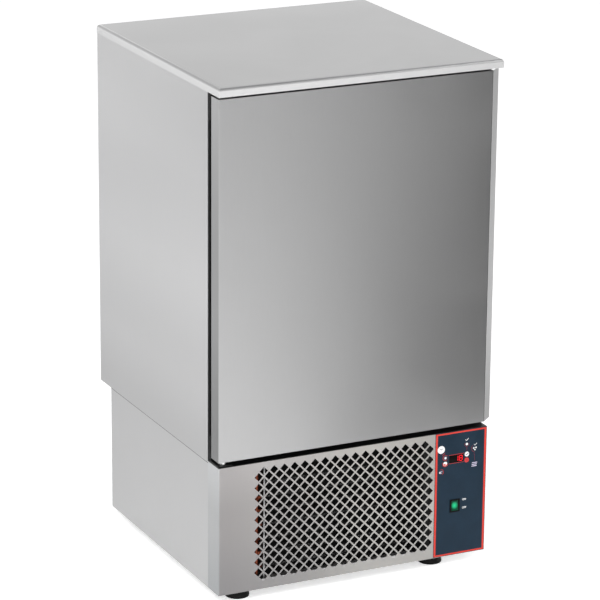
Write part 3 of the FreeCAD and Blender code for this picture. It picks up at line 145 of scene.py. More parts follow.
FLOOR_REACH = 30
FLOOR_LIFT = 0.42                # evens the floor out to white, as the camera sees it
FLOOR_TONE = 0.9
WALL_FLAG_X = 0.95               # the standing flag, on the right of the cabinet
WALL_FLAG_START = -0.9
WALL_FLAG_END = -1.95
WALL_FLAG_HEIGHT = 1.7
WALL_FLAG_TONE = 0.02
FLAG_NEAR = 1.12                 # from the origin to the flag on the floor, and to its end
FLAG_NEAR_RIGHT = 1.45
FLAG_FAR = 5.4
FLAG_LEFT = -0.26                # how far its corners stand aside from that way
FLAG_FAR_LEFT = 0.04
FLAG_RIGHT = 1.0
FLAG_LIFT = 0.004
FLAG_TONE = 0.10
MIRRORED = Vector((0.417, -0.858))    # the way on, seen from above, of what the door mirrors
studio_floor = stage_sheet(
    "studio_floor", [(x * FLOOR_REACH, y * FLOOR_REACH, 0)
                     for x, y in ((-1, -1), (1, -1), (1, 1), (-1, 1))], FLOOR_TONE)
floor_tree = studio_floor.data.materials[0].node_tree
floor_shader = floor_tree.nodes["Principled BSDF"]
floor_seen = add_node(floor_tree, "LightPath").outputs["Is Camera Ray"]
floor_lift = add_node(floor_tree, "Math", {0: floor_seen, 1: FLOOR_LIFT}, operation="MULTIPLY")
floor_shader.inputs["Emission Color"].default_value = (1, 1, 1, 1)
feed(floor_shader, "Emission Strength", floor_lift.outputs[0])
near, far = MIRRORED * FLAG_NEAR, MIRRORED * FLAG_FAR
near_right = MIRRORED * FLAG_NEAR_RIGHT
wall_flag = stage_sheet(
    "studio_flag", [(WALL_FLAG_X, y, z) for y, z in (
        (WALL_FLAG_START, 0), (WALL_FLAG_END, 0), (WALL_FLAG_END, WALL_FLAG_HEIGHT),
        (WALL_FLAG_START, WALL_FLAG_HEIGHT))], WALL_FLAG_TONE)
floor_flag = stage_sheet(
    "studio_floor_flag", [(side + way.x, way.y, FLAG_LIFT) for side, way in (
        (FLAG_LEFT, near), (FLAG_FAR_LEFT, far), (FLAG_RIGHT, far), (FLAG_RIGHT, near_right))],
    FLAG_TONE)
for flag in (wall_flag, floor_flag):
    flag.visible_camera = False
    flag.visible_diffuse = False
    flag.visible_shadow = False
softbox("key_light", (-2.6, -3.4, 3.9), (0, 0, 0.7), width=2.4, height=2.4, watts=170)
fill = softbox("fill_light", (3.2, -1.5, 3.2), (0, 0, 0.7), width=2.0, height=2.0, watts=60)
fill.data.use_shadow = False
softbox("rim_light", (-1.9, 2.7, 1.1), (-0.4, 0, 1.0), width=1.2, height=1.4, watts=2.6)

world = bpy.data.worlds.new("studio_world")
world.use_nodes = True
bpy.context.scene.world = world
sky = world.node_tree
SKY_STOPS = ((0.35, (0.98, 0.98, 0.98, 1)), (0.85, (0.42, 0.42, 0.43, 1)))
sky_way = add_node(sky, "TexCoord").outputs["Generated"]
sky_height = add_node(sky, "SeparateXYZ", {"Vector": sky_way}).outputs["Z"]
ramp = add_node(sky, "ValToRGB", {"Fac": sky_height})
for element, (height, colour) in zip(ramp.color_ramp.elements, SKY_STOPS):
    element.position = height
    element.color = colour
seen = add_node(sky, "LightPath").outputs["Is Camera Ray"]
plain = add_node(sky, "Background", {"Color": (1, 1, 1, 1), "Strength": 1.0})
shade = add_node(sky, "Background", {"Color": ramp.outputs["Color"], "Strength": 1.0})
either = add_node(sky, "MixShader", {0: seen, 1: shade.outputs[0], 2: plain.outputs[0]})
feed(sky.nodes["World Output"], "Surface", either.outputs[0])
bpy.context.scene.view_settings.view_transform = "Standard"

# ---------------- base pan
# The tray that the machinery stands on: 2 mm galvanised sheet, folded up front and back, with
# a weld nut over each foot. Zinc spangle shows on it.


def node_group(name, inputs, outputs):
    """An empty shader group with its sockets, its entry and its exit."""
    group = bpy.data.node_groups.new(name, "ShaderNodeTree")
    for label, kind, value in inputs:
        socket = group.interface.new_socket(name=label, in_out="INPUT", socket_type=kind)
        socket.default_value = value
    for label in outputs:
        group.interface.new_socket(name=label, in_out="OUTPUT", socket_type="NodeSocketFloat")
    return group, group.nodes.new("NodeGroupInput"), group.nodes.new("NodeGroupOutput")


def own_place(tree):
    """Where a point lies on its piece."""
    return add_node(tree, "TexCoord").outputs["Object"]


def make_smears():
    """Cloudy patches left by wiping and handling, from 0, clean, to 1."""
    group, entry, leave = node_group("smears", [("Size", "NodeSocketFloat", 4.0)], ["Mask"])
    broad = add_node(group, "TexNoise", {
        "Vector": own_place(group), "Scale": entry.outputs["Size"], "Detail": 4.0,
        "Roughness": 0.62, "Distortion": 0.6})
    sharp = add_node(group, "MapRange", {
        "Value": broad.outputs["Fac"], "From Min": 0.38, "From Max": 0.66})
    feed(leave, "Mask", sharp.outputs["Result"])
    return group


def make_edge_wear():
    """Where edges are rubbed paler, from 0 on a flat to 1 on an edge."""
    group, entry, leave = node_group("edge_wear", [("Width", "NodeSocketFloat", 0.001)], ["Mask"])
    round_off = add_node(group, "Bevel", {"Radius": entry.outputs["Width"]}, samples=4)
    true = add_node(group, "NewGeometry")
    match = add_node(group, "VectorMath", {
        0: round_off.outputs["Normal"], 1: true.outputs["Normal"]}, operation="DOT_PRODUCT")
    edge = add_node(group, "MapRange", {
        "Value": match.outputs["Value"], "From Min": 0.99, "From Max": 0.80})
    feed(leave, "Mask", edge.outputs["Result"])
    return group


def make_dust():
    """Dust that settles on faces that look up, in patches."""
    group, entry, leave = node_group("dust", [("Patch", "NodeSocketFloat", 18.0)], ["Mask"])
    true = add_node(group, "NewGeometry")
    up = add_node(group, "SeparateXYZ", {"Vector": true.outputs["Normal"]})
    noise = add_node(group, "TexNoise", {
        "Vector": own_place(group), "Scale": entry.outputs["Patch"], "Detail": 6.0})
    patch = add_node(group, "MapRange", {
        "Value": noise.outputs["Fac"], "From Min": 0.3, "From Max": 0.75})
    both = add_node(group, "Math", {0: up.outputs["Z"], 1: patch.outputs["Result"]},
                    operation="MULTIPLY", use_clamp=True)
    feed(leave, "Mask", both.outputs[0])
    return group


SMEARS = make_smears()
EDGE_WEAR = make_edge_wear()
DUST = make_dust()


def as_colour(tone):
    """A tone that is given once stands for red, green and blue."""
    return (tone,) * 3 if isinstance(tone, (int, float)) else tone


def grey(tone):
    """A tone from 0 to 255, as it is seen, as a linear colour."""
    return tuple(((c / 255 + 0.055) / 1.055) ** 2.4 for c in as_colour(tone))


def mask_of(tree, group, label, value):
    """One of the shared effects, placed in a material with its own size."""
    node = add_node(tree, "Group")
    node.node_tree = group
    node.inputs[label].default_value = value
    return node.outputs["Mask"]


def blended(tree, mask, low, high, share=1.0):
    """A colour that goes from one to another as a mask goes from 0 to a share of its height."""
    part = add_node(tree, "MapRange", {"Value": mask, "To Max": share})
    first, second = (colour if isinstance(colour, bpy.types.NodeSocket) else (*colour, 1)
                     for colour in (low, high))
    return add_node(tree, "MixRGB", {"Fac": part.outputs["Result"], "Color1": first,
                                     "Color2": second}).outputs["Color"]


def ranged(tree, mask, low, high):
    """A number that goes from low to high with a mask."""
    return add_node(tree, "MapRange", {
        "Value": mask, "To Min": low, "To Max": high}).outputs["Result"]


def coarse_noise(tree, scale, detail=4.0):
    """A noise on the piece's own coordinates."""
    return add_node(tree, "TexNoise", {
        "Vector": own_place(tree), "Scale": scale, "Detail": detail}).outputs["Fac"]


def blank_material(name, **plain):
    """A material whose plain values sit on the shader's own sockets."""
    material = bpy.data.materials.new(name)
    material.use_nodes = True
    shader = material.node_tree.nodes["Principled BSDF"]
    for key, value in plain.items():
        shader.inputs[key.replace("_", " ")].default_value = value
    return material, material.node_tree, shader


def raise_relief(tree, shader, height, distance, strength=0.6):
    """Turns a height into relief on the surface."""
    bump = add_node(tree, "Bump", {
        "Height": height, "Distance": distance, "Strength": strength})
    feed(shader, "Normal", bump.outputs["Normal"])


def galvanised_sheet(name, low, high):
    """Zinc-coated sheet: cell-like spangle in two greys, with dull and bright patches."""
    material, tree, shader = blank_material(name, Metallic=1.0)
    cells = add_node(tree, "TexVoronoi", {"Vector": own_place(tree), "Scale": 110.0})
    spangle = add_node(tree, "SeparateColor", {"Color": cells.outputs["Color"]})
    dusty = mask_of(tree, DUST, "Patch", 14.0)
    colour = blended(tree, spangle.outputs["Red"], low, high)
    colour = blended(tree, dusty, colour, (0.30, 0.29, 0.27), 0.35)
    feed(shader, "Base Color", colour)
    feed(shader, "Roughness", ranged(tree, spangle.outputs["Green"], 0.34, 0.52))
    raise_relief(tree, shader, coarse_noise(tree, 90.0), 0.0004, 0.25)
    return material


def is_wide(face, least=0.0028):
    """Whether a face is more than a strip as wide as the sheet is thick."""
    return face.calc_area() / max(edge.calc_length() for edge in face.edges) > least


def bevelled(shape, edges, offset, segments):
    """Rounds edges of a bmesh."""
    bmesh.ops.bevel(shape, geom=edges, offset=offset, affect="EDGES", segments=segments,
                    profile=0.5, material=-1, clamp_overlap=True)


def softened(node, material, fold=0.0, edge=0.0, wall=0.001, segments=3, crease=32):
    """A finished copy of a solid: its folds get a bend radius, inside and out, its cut edges a
    fine break, and its round parts are smooth."""
    piece_mesh = frame["nodes"][node].data.copy()
    piece_mesh.name = f"{node}_finished"
    shape = bmesh.new()
    shape.from_mesh(piece_mesh)
    bmesh.ops.remove_doubles(shape, verts=shape.verts, dist=1e-6)
    bmesh.ops.dissolve_limit(shape, angle_limit=math.radians(0.6), verts=shape.verts,
                             edges=shape.edges)
    limit = math.radians(crease)

    def corners(test):
        return [e for e in shape.edges if len(e.link_faces) == 2
                and e.calc_face_angle(0) > limit and test(e)]

    for convex, offset in ((True, fold), (False, fold - wall)):
        if offset > 0.0001:
            folds = corners(lambda e: e.is_convex == convex and all(map(is_wide, e.link_faces))
                            and e.calc_length() > 3 * offset)
            bevelled(shape, folds, offset, segments)
    if edge:
        bevelled(shape, corners(lambda e: e.is_convex), edge, 2)
    bmesh.ops.remove_doubles(shape, verts=shape.verts, dist=5e-6)
    bmesh.ops.dissolve_degenerate(shape, dist=5e-6, edges=shape.edges)
    finished(shape, piece_mesh.name, material, frame["nodes"][node]["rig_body"], [node],
             crease, piece_mesh)


def finished(shape, name, material, body, nodes=(), crease=32, piece_mesh=None):
    """Makes an object of a bmesh, with its material and smooth faces between its creases, and
    puts it on the body that carries it."""
    piece_mesh = piece_mesh or bpy.data.meshes.new(name)
    shape.to_mesh(piece_mesh)
    shape.free()
    piece_mesh.materials.clear()
    piece_mesh.materials.append(material)
    piece_mesh.shade_smooth()
    piece_mesh.set_sharp_from_angle(angle=math.radians(crease))
    piece = bpy.data.objects.new(name, piece_mesh)
    bpy.context.scene.collection.objects.link(piece)
    facing = piece.modifiers.new("facing", "WEIGHTED_NORMAL")
    facing.keep_sharp = True
    facing.weight = 100
    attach(piece, body)
    if nodes:
        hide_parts(*nodes)


def painted_node(node, material):
    """A hidden solid that stays as it is gets its finish."""
    slot = frame["nodes"][node].material_slots[0]
    slot.link = "OBJECT"
    slot.material = material


ZINC = galvanised_sheet("galvanised_sheet", grey(176), grey(199))
softened("base_pan", ZINC, fold=0.003, edge=0.0003, wall=0.002)

# ---------------- levelling feet
# Black glass-filled nylon cups on threaded studs, with a rubber sole. They stand low under the
# base, so they catch dust on the shoulder.


def moulded(name, low, high, roughness, stipple=900.0, relief=0.00006, wear=None, dust=0.0,
            **plain):
    """Moulded plastic or rubber: a fine stipple, cloudy gloss, and worn or dusty places."""
    material, tree, shader = blank_material(name, **plain)
    clouds = mask_of(tree, SMEARS, "Size", 22.0)
    colour = blended(tree, clouds, low, high)
    if wear:
        colour = blended(tree, mask_of(tree, EDGE_WEAR, "Width", 0.0012), colour, wear, 0.7)
    if dust:
        colour = blended(tree, mask_of(tree, DUST, "Patch", 60.0), colour, grey(150), dust)
    feed(shader, "Base Color", colour)
    feed(shader, "Roughness", ranged(tree, clouds, roughness - 0.05, roughness + 0.08))
    raise_relief(tree, shader, coarse_noise(tree, stipple, 2.0), relief)
    return material


FOOT_NYLON = moulded("foot_nylon", grey(3), grey(7), 0.5, dust=0.035, Specular_IOR_Level=0.2)
for row in ("front", "rear"):
    for side in ("left", "right"):
        softened(f"foot_{row}_{side}", FOOT_NYLON, edge=0.0012, crease=25)

# ---------------- base sides and rear panel
# Satin stainless sides with an upright grain, and a galvanised rear panel with rows of vents.
# Each vent has a pressed hood that sheds drips.


def make_brushed():
    """Streaks of a brushed sheet along its grain, and slow waves that a rolled sheet keeps."""
    group, entry, leave = node_group(
        "brushed_grain", [("Stretch", "NodeSocketVector", (1.0, 1.0, 1.0)),
                          ("Fineness", "NodeSocketFloat", 60.0)], ["Streaks", "Waves"])
    spot = own_place(group)
    drawn = add_node(group, "VectorMath", {
        0: spot, 1: entry.outputs["Stretch"]}, operation="MULTIPLY")
    fine = add_node(group, "TexNoise", {
        "Vector": drawn.outputs["Vector"], "Scale": entry.outputs["Fineness"], "Detail": 3.0,
        "Roughness": 0.7})
    waves = add_node(group, "TexNoise", {
        "Vector": spot, "Scale": 2.3, "Detail": 1.0})
    feed(leave, "Streaks", fine.outputs["Fac"])
    feed(leave, "Waves", waves.outputs["Fac"])
    return group


BRUSHED = make_brushed()
UPRIGHT_GRAIN = (14.0, 14.0, 0.35)
CROSS_GRAIN = (0.35, 14.0, 14.0)


def stainless(name, tone, roughness, grain, contrast=0.035, tint=(1.0, 1.0, 1.0), smear=0.02):
    """Satin stainless sheet: streaks along the grain, faint wipe marks and paler edges."""
    material, tree, shader = blank_material(name, Metallic=1.0)
    brushed = add_node(tree, "Group")
    brushed.node_tree = BRUSHED
    brushed.inputs["Stretch"].default_value = grain
    brushed.inputs["Fineness"].default_value = 62.0
    streaks = brushed.outputs["Streaks"]
    base = [c * t for c, t in zip(grey(tone), tint)]
    low = [c * (1 - contrast) for c in base]
    high = [c * (1 + contrast) for c in base]
    colour = blended(tree, streaks, low, high)
    colour = blended(tree, mask_of(tree, EDGE_WEAR, "Width", 0.0009), colour,
                     [min(1, c * 1.3) for c in base], 0.5)
    feed(shader, "Base Color", colour)
    wiped = ranged(tree, mask_of(tree, SMEARS, "Size", 3.1), roughness - smear / 2,
                   roughness + smear)
    rough = add_node(tree, "Math", {0: ranged(tree, streaks, -0.03, 0.03), 1: wiped},
                     operation="ADD")
    feed(shader, "Roughness", rough.outputs[0])
    fine = add_node(tree, "Bump", {"Height": streaks, "Distance": 0.00003, "Strength": 0.5})
    slow = add_node(tree, "Bump", {
        "Height": brushed.outputs["Waves"], "Distance": 0.0006, "Strength": 0.2,
        "Normal": fine.outputs["Normal"]})
    feed(shader, "Normal", slow.outputs["Normal"])
    return material


def with_painted_shading(material, stops, axis, node=None, share=1.0):
    """Multiplies the sheet's colour by painted light and shade that drifts from one end of a
    piece to the other, or, where no piece is named, with the way its faces look."""
    tree = material.node_tree
    shader = tree.nodes["Principled BSDF"]
    if node:
        way = own_place(tree)
        low, high = (getattr(corner, axis.lower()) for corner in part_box(node))
    else:
        way = add_node(tree, "NewGeometry").outputs["Normal"]
        low, high = 0, 1
    along = add_node(tree, "SeparateXYZ", {"Vector": way}).outputs[axis]
    part = add_node(tree, "MapRange", {"Value": along, "From Min": low, "From Max": high})
    tint = add_node(tree, "ValToRGB", {"Fac": part.outputs["Result"]})
    tint.color_ramp.interpolation = "EASE"
    while len(tint.color_ramp.elements) < len(stops):
        tint.color_ramp.elements.new(0.5)
    for element, (place, colour) in zip(tint.color_ramp.elements, stops):
        element.position = place
        element.color = (*as_colour(colour), 1)
    mix = add_node(tree, "MixRGB", {
        "Fac": share, "Color1": shader.inputs["Base Color"].links[0].from_socket,
        "Color2": tint.outputs["Color"]}, blend_type="MULTIPLY")
    feed(shader, "Base Color", mix.outputs["Color"])


def facing_mask(tree, axis, start, full):
    """One on the faces that look along an axis, fading to nought on those that turn away."""
    way = add_node(tree, "NewGeometry")
    parts = add_node(tree, "SeparateXYZ", {"Vector": way.outputs["True Normal"]})
    return add_node(tree, "MapRange", {
        "Value": parts.outputs[axis], "From Min": start, "From Max": full}).outputs["Result"]


BASE_SIDE_STEEL = stainless("base_side_steel", 197, 0.34, UPRIGHT_GRAIN)
for side in ("left", "right"):
    softened(f"base_side_{side}", BASE_SIDE_STEEL, fold=0.002, edge=0.0002)
softened("base_rear_panel", ZINC, edge=0.0002)


def outward(shape):
    """Turns the faces of a bmesh outwards."""
    bmesh.ops.recalc_face_normals(shape, faces=shape.faces)


VENT_COLUMNS = 3
VENT_ROWS = 9
VENT_LENGTH = 0.070
VENT_PITCH = Vector((0.090, 0, 0.018))
VENT_MIDDLE_X = -0.068
VENT_FIRST = 0.100
HOOD_LAP = 0.006
HOOD_RISE = 0.0045
HOOD_HEIGHT = 0.022
HOOD_SKIN = 0.0008
panel_low, panel_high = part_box("base_rear_panel")
hood = bmesh.new()
bmesh.ops.create_uvsphere(hood, u_segments=20, v_segments=10, radius=0.5)
bmesh.ops.scale(hood, verts=hood.verts, vec=(VENT_LENGTH + HOOD_LAP, HOOD_RISE * 2, HOOD_HEIGHT))
for plane_no in ((0, -1, 0), (0, 0, -1)):
    bmesh.ops.bisect_plane(hood, geom=[*hood.verts, *hood.edges, *hood.faces],
                           plane_co=(0, 0, 0), plane_no=plane_no, clear_outer=True)
bmesh.ops.solidify(hood, geom=hood.faces[:], thickness=HOOD_SKIN)
hood_mesh = bpy.data.meshes.new("hood")
hood.to_mesh(hood_mesh)
hood.free()
shape = bmesh.new()
for column in range(VENT_COLUMNS):
    for row in range(VENT_ROWS):
        earlier = len(shape.verts)
        shape.from_mesh(hood_mesh)
        shape.verts.ensure_lookup_table()
        middle = Vector((VENT_MIDDLE_X + (column - 1) * VENT_PITCH.x, panel_high.y,
                         panel_low.z + VENT_FIRST + row * VENT_PITCH.z))
        bmesh.ops.translate(shape, verts=shape.verts[earlier:], vec=middle)
bpy.data.meshes.remove(hood_mesh)
outward(shape)
finished(shape, "vent_hoods", ZINC, "cabinet")

# ---------------- compressor
# A black enamelled steel can, welded round its middle, on a plate that rests on four rubber
# grommets. A plastic cover over its terminals faces the grille.
ENAMEL = moulded("black_enamel", grey(12), grey(20), 0.28, stipple=300.0, dust=0.25)
GROMMET_RUBBER = moulded("grommet_rubber", grey(22), grey(34), 0.7)
COVER_PLASTIC = moulded("cover_plastic", grey(20), grey(30), 0.5, dust=0.2)
softened("compressor", ENAMEL, edge=0.001, crease=30)
softened("compressor_grommets", GROMMET_RUBBER, edge=0.0015, crease=30)
softened("terminal_cover", COVER_PLASTIC, edge=0.002)
WELD_HEIGHT = 0.112
WELD_RADIUS = 0.092
WELD_BEAD = 0.003
WELD_STEPS = 72


def middle_of(node):
    """The middle of a solid's box."""
    low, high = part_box(node)
    return (low + high) / 2


can = middle_of("compressor_grommets")
can.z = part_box("compressor")[0].z
bead_place = Matrix.Translation(can + Vector((WELD_RADIUS, 0, WELD_HEIGHT)))
shape = bmesh.new()
bmesh.ops.create_circle(shape, segments=10, radius=WELD_BEAD,
                        matrix=bead_place @ Matrix.Rotation(math.pi / 2, 4, "X"))
bmesh.ops.spin(shape, geom=shape.edges[:], cent=(can.x, can.y, 0), axis=(0, 0, 1),
               angle=2 * math.pi, steps=WELD_STEPS, use_merge=True)
outward(shape)
finished(shape, "compressor_weld", ENAMEL, "cabinet")

# ---------------- condenser
# Rows of bright tube run through thin black-coated fins and two end plates, the left one with a
# bare zinc edge in front. Copper bends join the tubes outside the plates. It is what shows
# through the grille.
FIN_PITCH = 0.0034
FIN_SKIN = 0.00022
TUBE_RADIUS = 0.0045
TUBE_PITCH = 0.036
TUBE_FIRST = 0.024
TUBE_DEPTHS = (0.014, 0.042)
FIN_SETBACK = 0.0045
END_PLATE = 0.0012
END_PLATE_PROUD = 0.003
END_PLATE_LOW = 0.030
END_PLATE_HIGH = 0.342
ZINC_EDGE_PROUD = 0.0036
HEADER_INSET = 0.004             # the header pipe stands nearer the plate than the bends reach
HEADER_RADIUS = 0.0055
HEADER_GAP = 0.006               # from the fins' height to the header pipe's ends
fins_low = Vector((-0.248, -0.353, 0.052))
fins_high = Vector((0.188, -0.297, 0.338))
FIN_COAT = moulded("fin_coat", grey(13), grey(21), 0.5, stipple=400.0)


def copper(name, low, high, roughness=0.3):
    """Drawn copper tube: clean metal under brown, uneven tarnish."""
    material, tree, shader = blank_material(name, Metallic=1.0)
    tarnish = mask_of(tree, SMEARS, "Size", 30.0)
    feed(shader, "Base Color", blended(tree, tarnish, high, low))
    feed(shader, "Roughness", ranged(tree, tarnish, roughness, roughness + 0.25))
    raise_relief(tree, shader, coarse_noise(tree, 240.0), 0.0001, 0.3)
    return material


COPPER = copper("tube_copper", grey((104, 52, 38)), grey((186, 104, 78)))
BRIGHT_TUBE = stainless("bright_tube", 226, 0.3, CROSS_GRAIN, contrast=0.08)


def add_box(shape, low, high):
    """One block of a bmesh between two corners."""
    low, high = Vector(low), Vector(high)
    place = Matrix.Translation((low + high) / 2) @ Matrix.Diagonal((*(high - low), 1))
    bmesh.ops.create_cube(shape, size=1.0, matrix=place)


def add_rod(shape, start, end, radius, segments=16):
    """One round bar of a bmesh between two points, with closed ends."""
    start, end = Vector(start), Vector(end)
    turn = (end - start).to_track_quat("Z", "Y").to_matrix().to_4x4()
    bmesh.ops.create_cone(shape, cap_ends=True, segments=segments, radius1=radius,
                          radius2=radius, depth=(end - start).length,
                          matrix=Matrix.Translation((start + end) / 2) @ turn)


def add_fins(shape, low, high, pitch):
    """Thin upright sheets, side by side between two corners."""
    for index in range(int((high.x - low.x) / pitch)):
        fin_x = low.x + (index + 0.5) * pitch
        add_box(shape, (fin_x - FIN_SKIN / 2, low.y, low.z),
                (fin_x + FIN_SKIN / 2, high.y, high.z))


def add_tubes(shape, start, end, depths, heights, radius, segments=16):
    """Level tubes from left to right, at each depth and height."""
    for tube_y in depths:
        for tube_z in heights:
            add_rod(shape, (start, tube_y, tube_z), (end, tube_y, tube_z), radius, segments)


def add_bend(shape, middle, away, upward, spread, radius):
    """A half turn of tube from below a middle point round to above it."""
    flat = Matrix((upward, away.cross(upward), away)).transposed().to_4x4()
    ring = bmesh.ops.create_circle(
        shape, segments=12, radius=radius,
        matrix=Matrix.Translation(middle - upward * spread) @ flat)["verts"]
    edges = list({e for v in ring for e in v.link_edges})
    bmesh.ops.spin(shape, geom=edges, cent=middle, axis=away.cross(upward),
                   angle=math.pi, steps=12)


shape = bmesh.new()
add_fins(shape, fins_low + Vector((0, FIN_SETBACK, 0)), fins_high, FIN_PITCH)
finished(shape, "condenser_fins", FIN_COAT, "cabinet", ["condenser_coil"])

shape = bmesh.new()
for plate_x in (fins_low.x - END_PLATE, fins_high.x):
    add_box(shape, (plate_x, fins_low.y - END_PLATE_PROUD, END_PLATE_LOW),
            (plate_x + END_PLATE, fins_high.y, END_PLATE_HIGH))
finished(shape, "condenser_end_plates", FIN_COAT, "cabinet")
shape = bmesh.new()
add_box(shape, (fins_low.x - 2 * END_PLATE, fins_low.y - ZINC_EDGE_PROUD, END_PLATE_LOW),
        (fins_low.x + END_PLATE, fins_low.y - END_PLATE_PROUD, END_PLATE_HIGH))
finished(shape, "condenser_edge", ZINC, "cabinet")

row_count = int((fins_high.z - fins_low.z - 2 * TUBE_FIRST) / TUBE_PITCH + 0.001) + 1
tube_heights = [fins_low.z + TUBE_FIRST + row * TUBE_PITCH for row in range(row_count)]
tube_depths = [fins_low.y + depth for depth in TUBE_DEPTHS]
shape = bmesh.new()
add_tubes(shape, fins_low.x, fins_high.x, tube_depths, tube_heights, TUBE_RADIUS)
finished(shape, "condenser_tubes", BRIGHT_TUBE, "cabinet")

shape = bmesh.new()
for tube_y in tube_depths:
    for sense, edge_x, first in ((-1, fins_low.x - END_PLATE, 0),
                                 (1, fins_high.x + END_PLATE, 1)):
        for tube_z in tube_heights[first:-1:2]:
            add_bend(shape, Vector((edge_x, tube_y, tube_z + TUBE_PITCH / 2)),
                     Vector((sense, 0, 0)), Vector((0, 0, 1)), TUBE_PITCH / 2, TUBE_RADIUS)
header_x = fins_low.x - TUBE_PITCH / 2 + HEADER_INSET
add_rod(shape, (header_x, tube_depths[0], fins_low.z + HEADER_GAP),
        (header_x, tube_depths[0], fins_high.z - HEADER_GAP), HEADER_RADIUS)
outward(shape)
finished(shape, "condenser_bends", COPPER, "cabinet")

# ---------------- condenser seal
# A strip of black cellular rubber, glued to the right end plate, fills the gap to the panel so
# that air doesn't pass round the coil. It hides the bends at that end.
SEAL_FOAM = moulded("seal_foam", grey(12), grey(20), 0.9, stipple=300.0, relief=0.0003)
SEAL_WIDTH = 0.018
SEAL_DEPTH = 0.004
seal_x = fins_high.x + END_PLATE
shape = bmesh.new()
add_box(shape, (seal_x, fins_low.y - END_PLATE_PROUD, fins_low.z),
        (seal_x + SEAL_WIDTH, fins_low.y + SEAL_DEPTH, fins_high.z))
finished(shape, "condenser_seal", SEAL_FOAM, "cabinet")

# ---------------- condenser fan
# A galvanised cowl behind the coil guides the air to a black moulded fan on a small enamelled
# motor, which four straps hold.
FAN_PLASTIC = moulded("fan_plastic", grey(26), grey(38), 0.45, dust=0.2)
MOTOR_ENAMEL = moulded("motor_enamel", grey(70), grey(90), 0.4, stipple=400.0, dust=0.2)
softened("condenser_shroud", ZINC, fold=0.002, edge=0.0002)
softened("condenser_fan_motor", MOTOR_ENAMEL, edge=0.0005, crease=30)
softened("condenser_fan", FAN_PLASTIC, edge=0.0005, crease=30)

# ---------------- refrigerant pipes
# Copper lines between compressor, condenser, drier and cabinet, brazed at their ends. The drier
# is a spun copper can in the liquid line.
softened("refrigerant_pipes", COPPER, crease=35)
softened("filter_drier", COPPER, edge=0.0004, crease=35)

# ---------------- lower front panel
# One satin stainless sheet, folded back at both sides and punched with squares that stand on
# their corners. Its top fold, under the door, is painted black: painted shade for the gap there.
GAP_SHADE_HEIGHT = 0.0011
LOWER_STEEL = stainless("lower_front_steel", 190, 0.36, UPRIGHT_GRAIN, tint=(1.0, 0.985, 0.965))
# Painted light and shade: across the sheet, a pale bluish band on the left return, darker round
# its fold and lightest right of the middle; up the sheet, darker at the bottom and brighter at
# the top.
with_painted_shading(LOWER_STEEL, [(0.0, (1.04, 1.07, 1.10)), (0.0025, (1.04, 1.07, 1.10)),
                         (0.0045, (0.78, 0.76, 0.77)), (0.22, (0.90, 0.88, 0.88)),
                         (0.6, (1.24, 1.22, 1.18)), (1.0, (1.14, 1.12, 1.08))],
           "X", "lower_front_panel")
with_painted_shading(LOWER_STEEL, [(0.0, (0.78, 0.79, 0.80)), (0.6, 0.92), (1.0, 1.12)],
           "Z", "lower_front_panel")


def with_painted_gap_shade(material, below, dark):
    """Paints the material black and unmetallic above a height, over its whole width: painted
    shade for the gap under the door.
    """
    tree = material.node_tree
    shader = tree.nodes["Principled BSDF"]
    height = add_node(tree, "SeparateXYZ", {"Vector": own_place(tree)}).outputs["Z"]
    above = add_node(tree, "Math", {0: height, 1: below}, operation="GREATER_THAN").outputs[0]
    steel = shader.inputs["Base Color"].links[0].from_socket
    feed(shader, "Base Color", blended(tree, above, steel, dark))
    feed(shader, "Metallic", ranged(tree, above, 1.0, 0.0))


# Painted shade: the top of the fold turns black, standing for the shade in the gap under the
# door.
with_painted_gap_shade(LOWER_STEEL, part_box("lower_front_panel")[1].z - GAP_SHADE_HEIGHT, grey(8))
softened("lower_front_panel", LOWER_STEEL, fold=0.0016, edge=0.00022)

# ---------------- control fascia
# A polyester film, printed dark blue from behind with a red line round it, and generic marks
# for timer, levels, sound and cycles in white, red and lilac ink.
FILM = moulded("fascia_film", grey((22, 41, 56)), grey((25, 45, 61)), 0.42, stipple=1500.0,
               relief=0.00001, Specular_IOR_Level=0.2)
FILM_LOW, FILM_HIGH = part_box("control_fascia")
softened("control_fascia", FILM, edge=0.0001)
INK_SKIN = 0.00008


def ink(name, colour, glow=0.0):
    """Screen-printed ink with a slightly uneven coat; a lit one also glows."""
    material, tree, shader = blank_material(name, Specular_IOR_Level=0.25)
    coat = coarse_noise(tree, 700.0)
    low = [c * 0.9 for c in colour]
    feed(shader, "Base Color", blended(tree, coat, low, colour))
    feed(shader, "Roughness", ranged(tree, coat, 0.4, 0.5))
    if glow:
        feed(shader, "Emission Color", blended(tree, coat, low, colour))
        shader.inputs["Emission Strength"].default_value = glow
    return material


RED_INK = ink("red_ink", grey((214, 62, 50)))
DULL_RED_INK = ink("dull_red_ink", grey((150, 50, 60)))
WHITE_INK = ink("white_ink", grey(238))
LILAC_INK = ink("lilac_ink", grey((212, 204, 226)))
DARK_INK = ink("dark_ink", grey((40, 52, 66)))
LIT_RED = ink("lit_red", grey((222, 8, 28)), 0.7)


def raised(shape, faces, way):
    """Draws faces of a bmesh out into a plate."""
    drawn = bmesh.ops.extrude_face_region(shape, geom=faces)["geom"]
    bmesh.ops.translate(shape, vec=way,
                        verts=[g for g in drawn if isinstance(g, bmesh.types.BMVert)])


def disc_points(x, z, radius, count=32, start=0.0, turn=2 * math.pi):
    """Points round a circle or part of one."""
    steps = count if turn >= 2 * math.pi else count + 1
    return [(x + radius * math.cos(start + turn * i / count),
             z + radius * math.sin(start + turn * i / count)) for i in range(steps)]


def arc_points(x, z, radius, width, start, turn, count=24):
    """Outline of a curved line, from its outer side back along its inner side."""
    outer = disc_points(x, z, radius + width / 2, count, start, turn)
    inner = disc_points(x, z, radius - width / 2, count, start, turn)
    return outer + inner[::-1]


